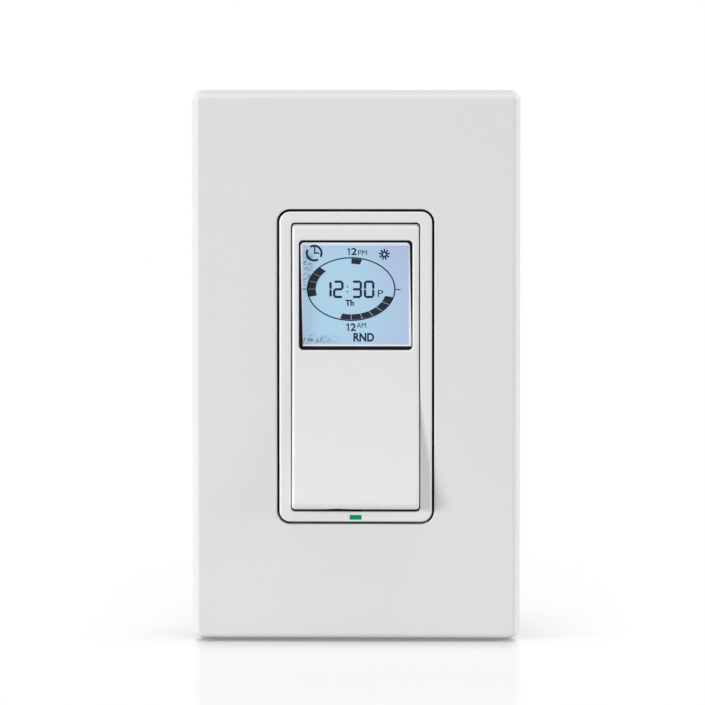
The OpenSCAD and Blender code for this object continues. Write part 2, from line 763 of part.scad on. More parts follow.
// A square key with a flange behind the deck
module square_key(place) {
  color("#c9cacc") upright() translate([place[0], place[1], key_base]) {
    panel(key_w + 2 * key_flange, key_w + 2 * key_flange, key_r + key_edge_r + key_flange, 0, flange_t);
    soft_slab(key_w, key_w, key_z - key_base, key_r, 0, key_edge_r);
  }
}

module up_key() {
  square_key(KEY_UP);
}

module down_key() {
  square_key(KEY_DOWN);
}

module left_key() {
  square_key(KEY_LEFT);
}

module right_key() {
  square_key(KEY_RIGHT);
}

module enter_key() {
  color("#9fb8a8") upright() translate([KEY_MID[0], KEY_MID[1], key_base]) {
    cylinder(r = key_w / 2 + key_flange, h = flange_t);
    soft_disc(key_w / 2, key_z - key_base, key_edge_r);
  }
}

// A switch plunger under a key
module key_plunger(place) {
  color("#2b2c2e") upright()
    rod(place[0], place[1], key_plunger_r, board_z + 2 * switch_floor + key_travel, key_base);
}

module up_plunger() {
  key_plunger(KEY_UP);
}

module down_plunger() {
  key_plunger(KEY_DOWN);
}

module left_plunger() {
  key_plunger(KEY_LEFT);
}

module right_plunger() {
  key_plunger(KEY_RIGHT);
}

module enter_plunger() {
  key_plunger(KEY_MID);
}

// A switch body on the control board with a guide bore for its plunger
module switch_body(place, h, r) {
  translate([place[0], place[1], board_z]) difference() {
    panel(switch_w, switch_w, switch_floor, 0, h);
    rod(0, 0, r + plunger_gap, switch_floor, h + cut);
  }
}

module key_switches() {
  color("#b4b6ba") upright() for (key = KEYS) switch_body(key, switch_h, key_plunger_r);
}

module pad_switch() {
  color("#3a3b3e") upright() switch_body([0, pad_plunger_y], pad_switch_h, pad_plunger_r);
}

module pad_plunger() {
  base = board_z + 2 * switch_floor + press_travel;
  color("#d8d4c8") upright() rod(0, pad_plunger_y, pad_plunger_r, base, pad_plunger_z);
}

// The cranked light pipe, from the lamp up and over to the slot in the frame
module light_pipe() {
  foot_in = lamp_y + pipe_t / 2;
  foot_out = lamp_y - pipe_t / 2;
  head_in = pipe_y + pipe_h / 2;
  head_out = pipe_y - pipe_h / 2;
  color("#7fd08a") upright() along_x(pipe_w)
    polygon([[foot_in, pipe_foot], [foot_in, pipe_top], [head_in, pipe_top], [head_in, frame_z],
             [head_out, frame_z], [head_out, pipe_top - pipe_t], [foot_out, pipe_top - pipe_t],
             [foot_out, pipe_foot]]);
}

module status_led() {
  color("#e3f2e0") upright() block(0, lamp_y, lamp_w, pipe_t, board_z, board_z + lamp_h);
}

module control_board() {
  color("#2f6b3f") upright() difference() {
    panel(board_w, board_h, well_r, board_back, board_z);
    both_sides() both_ends()
      rod(post_x, post_y, board_screw_r + plunger_gap, board_back - cut, board_z + cut);
  }
}

// Sizes of the parts on the boards
chip_w = 9;
chip_t = 1.3;
crystal = [6, 2, 1.8];
header = [12.7, 2.5];
relay_size = [19, 15.5, 14];
film_size = [13, 6, 11];
can_r = 4;
can_h = 12;
disc_r = 5;
disc_t = 3.6;
coil_r = 3.6;
coil_h = 8;
coin_r = 5.5;
coin_t = 5;
fuse_r = 1.5;
fuse_len = 9;

module controller_chip() {
  color("#232427") upright() block(0, window_mid, chip_w, chip_w, board_back - chip_t, board_back);
}

module clock_crystal() {
  color("#c4c6c9") upright()
    block(0, window_low - chip_w / 2, crystal[0], crystal[1], board_back - crystal[2], board_back);
}

module board_header() {
  color("#1f2022") upright() block(0, pad_plunger_y, header[0], header[1], power_z, board_back);
}

// Four small screws through the control board into the front cover's posts
module control_board_screws() {
  color("#c2c4c7") upright() both_sides() both_ends() {
    rod(post_x, post_y, board_head_r, board_back - board_head_h, board_back);
    rod(post_x, post_y, board_screw_r, board_back - join, deck_back - join);
  }
}

// The mounting strap: a zinc plate with a window, slotted ears and break-off wings
module mounting_strap() {
  wing_y = plate_screw_y + ear_reach - wing_h / 2;
  groove_x = (ear_w + groove_w) / 2;
  color("#38383a") upright() difference() {
    union() {
      panel(housing_w + 2 * strap_margin, housing_h + 2 * strap_margin, strap_r, 0, strap_t);
      panel(ear_w, 2 * (plate_screw_y + ear_reach), strap_r, 0, strap_t);
      both_ends() translate([0, wing_y, 0]) panel(wing_w, wing_h, strap_r, 0, strap_t);
    }
    panel(collar_w + 2 * strap_gap, collar_h + 2 * strap_gap, collar_r + strap_gap, -cut, strap_t + cut);
    both_ends() {
      rod(0, plate_screw_y, screw_r + thread_gap, -cut, strap_t + cut);
      translate([0, box_y, 0])
        panel(adjust_len, 2 * (neck_r + adjust_gap), neck_r + adjust_gap - sink_gap, -cut, strap_t + cut);
      both_sides() {
        rod(screw_x, screw_y, housing_screw_r + thread_gap, -cut, strap_t + cut);
        block(groove_x, wing_y, groove_w, wing_h + cut, strap_t - groove_d, strap_t + cut);
      }
    }
    rod(ground_x, -box_y + ground_up, screw_r + thread_gap, -cut, strap_t + cut);
  }
}

// Wall-box screws: head on the strap, a plain neck through it, then the thread
module mounting_screws() {
  color("#c9cbce") upright() both_ends() translate([0, box_y, 0]) {
    translate([0, 0, strap_t]) slotted_head(head_r, head_h);
    rod(0, 0, neck_r, -retainer_t - join, strap_t + join);
    rod(0, 0, screw_r, -box_screw_len, -retainer_t - sink_gap);
  }
}

module screw_retainers() {
  color("#8a5a3c") upright() both_ends() translate([0, box_y, 0]) difference() {
    panel(retainer_w, retainer_w, strap_r / 2, -retainer_t, 0);
    rod(0, 0, neck_r + retainer_gap, -cut, cut);
  }
}

// The green ground screw on the back of the strap
module ground_screw() {
  color("#3f8f4f") upright() translate([ground_x, -box_y + ground_up, 0]) {
    rotate([180, 0, 0]) slotted_head(head_r, head_h);
    rod(0, 0, screw_r, -join, strap_t - sink_gap);
  }
}

// The rear housing: a leaning box with screw posts, board posts and four terminal pockets in its sides
module rear_housing() {
  floor_z = -housing_depth + housing_wall;
  seat_z = -housing_depth + head_sink + housing_head_h;
  color("#3a3c40") upright() difference() {
    housing_outside();
    difference() {
      panel(housing_in_w, housing_in_h, housing_face_r, floor_z, -cover_t + cut);
      both_sides() both_ends() {
        rod(screw_x, screw_y, screw_post_r, floor_z - cut, -cover_t + cut);
        rod(power_post_x, power_post_y, power_post_r, floor_z - cut, power_rear);
        block((housing_w / 2 + pocket_in) / 2, terminal_y, pocket_d + pocket_wall, pocket_h + 2 * pocket_wall,
              terminal_z - pocket_w / 2 - pocket_wall, terminal_z + pocket_w / 2 + pocket_wall);
      }
    }
    both_sides() both_ends() {
      rod(screw_x, screw_y, housing_screw_r + housing_screw_gap, -housing_depth - cut, -cover_t + cut);
      rod(screw_x, screw_y, housing_head_r + housing_screw_gap, -housing_depth - cut, seat_z);
      rod(power_post_x, power_post_y, board_screw_r + thread_gap, power_rear - 2 * board_t - join,
          power_rear + cut);
      terminal_cut();
    }
  }
}

module housing_outside() {
  translate([0, 0, -cover_t]) mirror([0, 0, 1])
    soft_slab(housing_w, housing_h, housing_depth - cover_t, housing_face_r, housing_draft, housing_edge_r);
}

// A terminal pocket with the slot for its tail and the hole for its screw
module terminal_cut() {
  block(pocket_floor + pocket_d / 2 + cut / 2, terminal_y, pocket_d + cut, pocket_h,
        terminal_z - pocket_w / 2, terminal_z + pocket_w / 2);
  block(pocket_in + pocket_wall / 2, terminal_y, pocket_wall + cut, tail_w + 2 * clamp_gap,
        power_z - sink_gap, power_z + tail_t + clamp_gap);
  translate([pocket_in + pocket_wall / 2, terminal_y, terminal_z]) rotate([0, 90, 0])
    cylinder(r = screw_r + clamp_gap, h = pocket_wall + cut, center = true);
}

module housing_screws() {
  seat_z = -housing_depth + head_sink + housing_head_h;
  color("#aeb1b5") upright() both_sides() both_ends() translate([screw_x, screw_y, seat_z]) {
    rotate([180, 0, 0]) slotted_head(housing_head_r, housing_head_h);
    rod(0, 0, housing_screw_r, -join, strap_t - sink_gap - seat_z);
  }
}

module power_board() {
  color("#b98a4b") upright() difference() {
    panel(power_w, power_h, well_r, power_rear, power_z);
    both_sides() both_ends()
      rod(power_post_x, power_post_y, board_screw_r + plunger_gap, power_rear - cut, power_z + cut);
  }
}

// Four small screws through the power board into the housing's posts
module power_board_screws() {
  color("#c2c4c7") upright() both_sides() both_ends() {
    rod(power_post_x, power_post_y, board_head_r, power_z, power_z + board_head_h);
    rod(power_post_x, power_post_y, board_screw_r, power_rear - 2 * board_t, power_z + join);
  }
}

// Parts behind the power board, from the relay at the bottom up
relay_y = -terminal_y;
film_y = relay_y + relay_size[1] / 2 + film_size[1] / 2 + cut;
can_y = film_y + film_size[1] / 2 + can_r + cut;
coil_y = can_y + can_r + coil_r + cut;

module relay() {
  color("#2a4f8f") upright()
    block(0, relay_y, relay_size[0], relay_size[1], power_rear - relay_size[2], power_rear);
}

module suppression_capacitor() {
  color("#c9a227") upright()
    block(0, film_y, film_size[0], film_size[1], power_rear - film_size[2], power_rear);
}

module smoothing_capacitor() {
  color("#22252b") upright() rod(-can_r - cut, can_y, can_r, power_rear - can_h, power_rear);
}

module surge_varistor() {
  color("#3a6ea5") upright() translate([disc_r + cut, can_y, power_rear - disc_r]) rotate([90, 0, 0])
    cylinder(r = disc_r, h = disc_t, center = true);
}

module power_inductor() {
  color("#5b3a24") upright() rod(coil_r + cut, coil_y, coil_r, power_rear - coil_h, power_rear);
}

module fuse() {
  color("#8f9a5b") upright() translate([-fuse_len / 2 - cut, coil_y, power_rear - fuse_r]) rotate([0, 90, 0])
    cylinder(r = fuse_r, h = fuse_len, center = true);
}

// The storage capacitor that keeps the clock, on the front of the power board
module backup_capacitor() {
  color("#2d3a57") upright() rod(0, terminal_y, coin_r, power_z, power_z + coin_t);
}

// Brass terminals in the housing's side pockets
module terminal_plates() {
  plate_len = pocket_w - 2 * terminal_gap;
  tail_in = power_w / 2 - tail_lap;
  color("#c8a24a") upright() both_sides() both_ends() difference() {
    union() {
      block(pocket_floor + terminal_t / 2, terminal_y, terminal_t, pocket_h - 2 * terminal_gap,
            terminal_z - plate_len / 2, terminal_z + plate_len / 2);
      block((tail_in + pocket_floor + join) / 2, terminal_y, pocket_floor + join - tail_in, tail_w,
            power_z, power_z + tail_t);
    }
    translate([pocket_floor, terminal_y, terminal_z]) rotate([0, 90, 0])
      cylinder(r = screw_r + thread_gap, h = 4 * terminal_t, center = true);
  }
}

clamp_x = pocket_floor + terminal_t + wire_gap;

module terminal_clamps() {
  color("#b8bbbf") upright() both_sides() both_ends()
    translate([clamp_x, terminal_y, terminal_z]) rotate([0, 90, 0]) difference() {
      panel(clamp_w, clamp_w, strap_r / 2, 0, clamp_t);
      rod(0, 0, screw_r + clamp_gap, -cut, clamp_t + cut);
    }
}

module terminal_screws() {
  reach = clamp_x + clamp_t - pocket_in + join;
  color("#c8a24a") upright() both_sides() both_ends()
    translate([clamp_x + clamp_t, terminal_y, terminal_z]) rotate([0, 90, 0]) {
      slotted_head(head_r, head_h);
      rod(0, 0, screw_r, -reach, join);
    }
}

wall_plate();
plate_subframe();
plate_screws();
bezel_frame();
push_pad();
pad_hinge_pin();
front_cover();
lcd_frame();
lcd_panel();
backlight();
zebra_strips();
up_key();
down_key();
left_key();
right_key();
enter_key();
up_plunger();
down_plunger();
left_plunger();
right_plunger();
enter_plunger();
key_switches();
pad_switch();
pad_plunger();
light_pipe();
status_led();
control_board();
controller_chip();
clock_crystal();
board_header();
control_board_screws();
mounting_strap();
mounting_screws();
screw_retainers();
ground_screw();
rear_housing();
housing_screws();
power_board();
power_board_screws();
relay();
suppression_capacitor();
smoothing_capacitor();
surge_varistor();
power_inductor();
backup_capacitor();
fuse();
terminal_plates();
terminal_clamps();
terminal_screws();
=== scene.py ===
"""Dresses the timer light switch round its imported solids.

Pieces are shaped on a bench, in millimetres and lying on their backs: x to the right, y up the
wall and z out of the wall. Seating a piece stands it upright at its real size, with the wall as
the plane y = 0.
"""

import functools
import logging
import math
from collections.abc import Callable, Iterator, Sequence
from contextlib import contextmanager
from dataclasses import dataclass
from enum import Enum, StrEnum, auto

import bmesh
import bpy
from mathutils import Matrix, Vector

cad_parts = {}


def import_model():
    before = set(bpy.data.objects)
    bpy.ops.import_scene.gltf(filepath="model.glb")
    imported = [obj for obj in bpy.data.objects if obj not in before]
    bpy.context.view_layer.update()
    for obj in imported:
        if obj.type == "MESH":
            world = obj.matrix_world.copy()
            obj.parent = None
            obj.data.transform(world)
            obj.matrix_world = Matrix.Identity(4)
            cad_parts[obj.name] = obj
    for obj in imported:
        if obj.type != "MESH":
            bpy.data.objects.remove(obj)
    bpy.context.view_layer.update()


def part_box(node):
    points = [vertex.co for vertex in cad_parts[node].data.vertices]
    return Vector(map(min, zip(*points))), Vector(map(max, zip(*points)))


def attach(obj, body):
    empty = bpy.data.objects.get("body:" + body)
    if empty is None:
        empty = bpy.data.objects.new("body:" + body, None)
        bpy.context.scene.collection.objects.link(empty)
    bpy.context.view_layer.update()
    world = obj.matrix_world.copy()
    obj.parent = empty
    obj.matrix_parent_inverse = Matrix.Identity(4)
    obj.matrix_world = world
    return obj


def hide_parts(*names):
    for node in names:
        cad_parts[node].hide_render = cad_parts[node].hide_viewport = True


LOG = logging.getLogger("timer_switch")

Point = tuple[float, float]
Triple = tuple[float, float, float]
Box = tuple[float, float, float, float]
Stroke = tuple[Point, Point, float, float]

MM = 0.001  # a millimetre, in metres
STAND = Matrix.Rotation(math.radians(90), 4, "X") @ Matrix.Scale(MM, 4)  # bench to wall
LENGTHWAYS = Matrix(((0, 0, 1, 0), (1, 0, 0, 0), (0, 1, 0, 0), (0, 0, 0, 1)))  # z to x
WELD = 0.0005  # points closer than this become one
NEAR = 0.02  # how close counts as on a plane or within a box
CLEAR = 1.0  # how far a cutter stands out of what it cuts
LAP = 0.2  # how far pieces that are fused reach into each other
BLACK: Triple = (0.0, 0.0, 0.0)
WHITE: Triple = (1.0, 1.0, 1.0)

# The ends of a digit's seven bars, on a grid of one step across and two upwards.
BARS = {
    "a": ((0, 2), (1, 2)), "b": ((1, 2), (1, 1)), "c": ((1, 1), (1, 0)), "d": ((0, 0), (1, 0)),
    "e": ((0, 1), (0, 0)), "f": ((0, 2), (0, 1)), "g": ((0, 1), (1, 1)),
}


class Body(StrEnum):
    """The bodies of the switch that carry dressed pieces."""

    ROOT = auto()
    PAD = auto()
    UP_KEY = auto()
    DOWN_KEY = auto()
    LEFT_KEY = auto()
    RIGHT_KEY = auto()
    ENTER_KEY = auto()


class Slot(StrEnum):
    """The record's finishes that dressed pieces belong to."""

    WHITE_PLASTIC = auto()
    GREY_PLASTIC = auto()
    KEY_PLASTIC = auto()
    ENTER_PLASTIC = auto()
    DARK_PLASTIC = auto()
    HOUSING_PLASTIC = auto()
    DISPLAY_GLASS = auto()
    GREEN_LENS = auto()
    ZINC_STEEL = auto()
    BLACK_STEEL = auto()
    WHITE_SCREW = auto()
    GREEN_SCREW = auto()
    FIBRE = auto()
    BRASS = auto()


class Fit(Enum):
    """How two workpieces are put together."""

    CUT = "DIFFERENCE"
    FUSE = "UNION"


class Pick(Enum):
    """What is selected in edit mode."""

    POINTS = "VERT"
    EDGES = "EDGE"
    FACES = "FACE"


class Axis(Enum):
    """The way that a place is measured on the standing switch."""

    ACROSS = "X"
    INWARDS = "Y"
    UPWARDS = "Z"


class Sum(Enum):
    """What a Math node works out."""

    ADD = auto()
    SUBTRACT = auto()
    MULTIPLY = auto()
    ABSOLUTE = auto()
    FLOORED_MODULO = auto()
    MAXIMUM = auto()


def srgb(*parts: int) -> Triple:
    """A colour picked on screen, as the shader's own linear values."""
    return tuple(((v / 255 + 0.055) / 1.055) ** 2.4 if v > 10 else v / 255 / 12.92 for v in parts)


def shade(colour: Triple, share: float) -> Triple:
    """A colour made lighter or darker."""
    return tuple(min(1.0, part * share) for part in colour)


def ellipse(middle: Point, half: Point, start: float, stop: float, steps: int) -> list[Point]:
    """Points along part of an ellipse.

    Args:
        middle: The ellipse's centre.
        half: Half its width and half its height.
        start: The first angle, in degrees.
        stop: The last angle.
        steps: How many straight steps it has.

    Returns:
        The points from the first angle to the last.
    """
    turns = [math.radians(start + (stop - start) * i / steps) for i in range(steps + 1)]
    return [(middle[0] + half[0] * math.cos(t), middle[1] + half[1] * math.sin(t)) for t in turns]


def arc(middle: Point, radius: float, start: float, stop: float, steps: int) -> list[Point]:
    """Points along a circular arc, which is told as an ellipse is."""
    return ellipse(middle, (radius, radius), start, stop, steps)


def round_over(radius: float, steps: int) -> list[Point]:
    """Steps inwards and upwards that follow a quarter round."""
    path = arc((0, 0), radius, 0, 90, steps)
    return [(a[0] - b[0], b[1] - a[1]) for a, b in zip(path, path[1:])]


class Signal:
    """A number that changes over a surface. Arithmetic on it adds Math nodes."""

    def __init__(self, paint: "Paint", socket: bpy.types.NodeSocket) -> None:
        """Wraps an output of a node."""
        self.paint = paint
        self.socket = socket

    def math(self, operation: Sum, *values: "Signal | float") -> "Signal":
        """One Math node on some values."""
        settings = {"operation": operation.name}
        return self.paint.signal("ShaderNodeMath", settings, dict(enumerate(values)))

    def __add__(self, other: "Signal | float") -> "Signal":
        """Sum."""
        return self.math(Sum.ADD, self, other)

    def __sub__(self, other: "Signal | float") -> "Signal":
        """Difference."""
        return self.math(Sum.SUBTRACT, self, other)

    def __rsub__(self, other: float) -> "Signal":
        """Difference from a number."""
        return self.math(Sum.SUBTRACT, other, self)

    def __mul__(self, other: "Signal | float") -> "Signal":
        """Product."""
        return self.math(Sum.MULTIPLY, self, other)

    def __abs__(self) -> "Signal":
        """Size without its sign."""
        return self.math(Sum.ABSOLUTE, self)

    def __mod__(self, other: float) -> "Signal":
        """Remainder, from 0 up to the divisor."""
        return self.math(Sum.FLOORED_MODULO, self, other)

    __radd__ = __add__
    __rmul__ = __mul__

    def between(self, low: float, high: float) -> "Signal":
        """Rises smoothly from 0 at the low value to 1 at the high one."""
        bounds = {"Value": self, "From Min": low, "From Max": high}
        return self.paint.signal("ShaderNodeMapRange", {"interpolation_type": "SMOOTHSTEP"}, bounds)


class Paint:
    """The nodes of one material, or of the surroundings."""

    def __init__(self, owner: bpy.types.Material | bpy.types.World) -> None:
        """Starts with no nodes.

        Args:
            owner: What the nodes belong to.
        """
        self.owner = owner
        owner.use_nodes = True
        self.tree = owner.node_tree
        self.tree.nodes.clear()

    def node(
        self, kind: str, settings: dict | None = None, inputs: dict | None = None
    ) -> bpy.types.Node:
        """Adds a node.

        Args:
            kind: The node's type.
            settings: Its settings, which are set first.
            inputs: Values or links of its sockets, by name or number.

        Returns:
            The node.
        """
        made = self.tree.nodes.new(kind)
        for key, value in (settings or {}).items():
            setattr(made, key, value)
        for key, value in (inputs or {}).items():
            socket = made.inputs[key]
            value = value.socket if isinstance(value, Signal) else value
            if isinstance(value, bpy.types.NodeSocket):
                self.tree.links.new(value, socket)
            elif socket.type == "RGBA":
                socket.default_value = (*value, 1.0)
            else:
                socket.default_value = value
        return made

    def signal(self, kind: str, settings: dict | None = None, inputs: dict | None = None) -> Signal:
        """The first output of a new node as a number."""
        return Signal(self, self.node(kind, settings, inputs).outputs[0])

    def place(self) -> bpy.types.NodeSocket:
        """Where a point is on the object, in metres."""
        return self.node("ShaderNodeTexCoord").outputs["Object"]

    def along(self, axis: Axis) -> Signal:
        """The place along one axis, in millimetres."""
        apart = self.node("ShaderNodeSeparateXYZ", None, {0: self.place()})
        return Signal(self, apart.outputs[axis.value]) * (1 / MM)

    def noise(
        self, size: float, detail: float, stretch: Triple = (1.0, 1.0, 1.0)
    ) -> Signal:
        """Soft noise from 0 to 1.

        Args:
            size: Size of its patches, in millimetres.
            detail: How much finer noise is laid over it.
            stretch: How much longer the patches are along each axis.

        Returns:
            The noise.
        """
        scale = tuple(1 / part for part in stretch)
        placed = self.node("ShaderNodeMapping", {"vector_type": "POINT"},
                           {"Vector": self.place(), "Scale": scale})
        return self.signal("ShaderNodeTexNoise", None, {
            "Vector": placed.outputs[0], "Scale": 1 / (size * MM), "Detail": detail})

    def seen(self) -> Signal:
        """A mask of what the camera sees straight, in a mirror or through glass.

        Returns:
            One where it is seen, and nought where it only lights other things.
        """
        rays = self.node("ShaderNodeLightPath").outputs
        mask = Signal(self, rays["Is Camera Ray"])
        for name in ("Is Glossy Ray", "Is Transmission Ray"):
            mask = mask.math(Sum.MAXIMUM, mask, Signal(self, rays[name]))
        return mask

    def blend(self, share: Signal | float, first: object, second: object) -> bpy.types.NodeSocket:
        """A colour between two others."""
        inputs = {0: share, 6: first, 7: second}
        return self.node("ShaderNodeMix", {"data_type": "RGBA"}, inputs).outputs[2]

    def relief(self, height: Signal, depth: float) -> bpy.types.NodeSocket:
        """A normal that follows a height, which is as deep as given in millimetres."""
        inputs = {"Distance": depth * MM, "Height": height}
        return self.node("ShaderNodeBump", None, inputs).outputs[0]

    def mixed(
        self, share: Signal, first: bpy.types.Node, second: bpy.types.Node
    ) -> bpy.types.Node:
        """A shader between two others."""
        inputs = {0: share, 1: first.outputs[0], 2: second.outputs[0]}
        return self.node("ShaderNodeMixShader", None, inputs)

    def surface(self, **inputs: object) -> None:
        """Ends the material in one shader.

        Args:
            inputs: Values or links of its sockets, named with underscores for spaces.
        """
        named = {key.replace("_", " "): value for key, value in inputs.items()}
        shader = self.node("ShaderNodeBsdfPrincipled", None, named)
        self.node("ShaderNodeOutputMaterial", None, {"Surface": shader.outputs[0]})


@dataclass(frozen=True)
class MouldedPlastic:
    """A moulded plastic with a faint sparked grain and cloudy colour."""

    colour: Triple
    roughness: float
    gloss: float = 0.5
    cloud: float = 0.012
    cloud_size: float = 16.0
    cloud_spread: float = 0.06
    grain_size: float = 0.45
    grain_spread: float = 0.12
    depth: float = 0.004

    def mix(self, paint: Paint) -> None:
        """Mixes the plastic.

        Args:
            paint: The material's nodes.
        """
        cloud = paint.noise(self.cloud_size, 3.0)
        grain = paint.noise(self.grain_size, 3.0)
        dark, light = (shade(self.colour, 1 + way * self.cloud) for way in (-1, 1))
        dull = (grain - 0.5) * self.grain_spread + (cloud - 0.5) * self.cloud_spread
        paint.surface(
            Base_Color=paint.blend(cloud, dark, light),
            Roughness=dull + self.roughness,
            Specular_IOR_Level=self.gloss,
            Normal=paint.relief(grain, self.depth),
        )


@dataclass(frozen=True)
class PlatedMetal:
    """A plated or rolled metal with rolling marks, dull patches and a little tarnish."""

    colour: Triple
    tarnish: Triple
    roughness: float
    mark_size: float = 0.35
    mark_stretch: Triple = (1.0, 1.0, 9.0)
    mark_spread: float = 0.22
    patch_size: float = 5.0
    patch_spread: float = 0.2
    stain_span: Point = (0.5, 0.75)
    stain_share: float = 0.45
    depth: float = 0.004

    def mix(self, paint: Paint) -> None:
        """Rolls and plates the metal.

        Args:
            paint: The material's nodes.
        """
        marks = paint.noise(self.mark_size, 3.0, self.mark_stretch)
        patch = paint.noise(self.patch_size, 4.0)
        stain = patch.between(*self.stain_span) * self.stain_share
        dull = (marks - 0.5) * self.mark_spread + self.roughness
        paint.surface(
            Base_Color=paint.blend(stain, self.colour, self.tarnish),
            Metallic=1.0,
            Roughness=dull + (patch - 0.5) * self.patch_spread,
            Normal=paint.relief(marks, self.depth),
        )


@dataclass(frozen=True)
class LaminateBoard:
    """A laminated circuit board with its weave and its copper showing through the mask."""

    mask: Triple
    copper: Triple
    across_pitch: float = 1.6
    across_edge: Point = (0.3, 0.4)
    upward_pitch: float = 2.4
    upward_edge: Point = (0.75, 0.85)
    patch_size: float = 6.0
    patch_edge: Point = (0.48, 0.52)
    weave_size: float = 0.5
    weave_stretch: float = 3.0
    weave_share: float = 0.15
    roughness: float = 0.3
    spread: float = 0.2
    depth: float = 0.03

    def mix(self, paint: Paint) -> None:
        """Lays up the board.

        Args:
            paint: The material's nodes.
        """
        across = abs(paint.along(Axis.ACROSS) % self.across_pitch - self.across_pitch / 2)
        upward = abs(paint.along(Axis.UPWARDS) % self.upward_pitch - self.upward_pitch / 2)
        patch = paint.noise(self.patch_size, 1.0).between(*self.patch_edge)
        tracks = patch * across.between(*self.across_edge)
        tracks = tracks + (1 - patch) * upward.between(*self.upward_edge)
        warp, weft = (paint.noise(self.weave_size, 1.0, stretch) for stretch in (
            (self.weave_stretch, 1.0, 1.0), (1.0, 1.0, self.weave_stretch)))
        weave = warp + weft
        paint.surface(
            Base_Color=paint.blend(tracks, self.mask, self.copper),
            Roughness=(weave - 1.0) * self.spread + self.roughness,
            Normal=paint.relief(tracks + weave * self.weave_share, self.depth),
        )


@dataclass(frozen=True)
class PressedFibre:
    """A pressed fibre sheet with flecks."""

    colour: Triple
    fleck_size: float = 0.3
    fleck_stretch: Triple = (4.0, 1.0, 1.0)
    fleck_span: Point = (0.3, 0.7)
    shades: Point = (0.7, 1.35)
    roughness: float = 0.6
    spread: float = 0.2
    depth: float = 0.02

    def mix(self, paint: Paint) -> None:
        """Presses the sheet.

        Args:
            paint: The material's nodes.
        """
        fleck = paint.noise(self.fleck_size, 4.0, self.fleck_stretch)
        dark, light = (shade(self.colour, share) for share in self.shades)
        paint.surface(
            Base_Color=paint.blend(fleck.between(*self.fleck_span), dark, light),
            Roughness=fleck * self.spread + self.roughness,
            Normal=paint.relief(fleck, self.depth),
        )


@dataclass(frozen=True)
class StripedBody:
    """A body made of fine layers or turns of wire."""

    light: Triple
    dark: Triple
    pitch: float
    axis: Axis
    roughness: float = 0.35
    stripe: Point = (0.2, 0.8)
    fleck_size: float = 0.6
    fleck_share: float = 0.3
    spread: float = 0.2

    def mix(self, paint: Paint) -> None:
        """Winds or stacks the layers.

        Args:
            paint: The material's nodes.
        """
        wave = abs(paint.along(self.axis) % self.pitch - self.pitch / 2) * (2 / self.pitch)
        fleck = paint.noise(self.fleck_size, 3.0)
        worn = fleck * self.fleck_share + (1 - self.fleck_share)
        paint.surface(
            Base_Color=paint.blend(wave.between(*self.stripe) * worn, self.dark, self.light),
            Roughness=(fleck - 0.5) * self.spread + self.roughness,
            Normal=paint.relief(wave, self.pitch / 4),
        )


@dataclass(frozen=True)
class LitLens:
    """A clear coloured plastic with a lamp behind it; nearer the wall than a given level its colour
    and glow are painted almost black, as painted shade.
    """

    colour: Triple
    glow: float
    root: float = 50.0
    root_fade: float = 0.5
    root_shade: float = 0.04
    spread_size: float = 0.8
    shades: Point = (0.85, 1.15)
    roughness: float = 0.3
    spread: float = 0.12
    gloss: float = 0.03
    depth: float = 0.003

    def mix(self, paint: Paint) -> None:
        """Tints the lens.

        Args:
            paint: The material's nodes.
        """
        spread = paint.noise(self.spread_size, 2.0)
        tint = paint.blend(spread, *(shade(self.colour, share) for share in self.shades))
        # Painted shade: nearer the wall than the root level, the tint and its glow fade to almost
        # black.
        painted_shade = paint.along(Axis.INWARDS).between(self.root - self.root_fade, self.root)
        tint = paint.blend(painted_shade, tint, shade(self.colour, self.root_shade))
        paint.surface(
            Base_Color=tint,
            Roughness=spread * self.spread + self.roughness,
            Specular_IOR_Level=self.gloss,
            Emission_Color=tint,
            Emission_Strength=self.glow,
            Normal=paint.relief(spread, self.depth),
        )


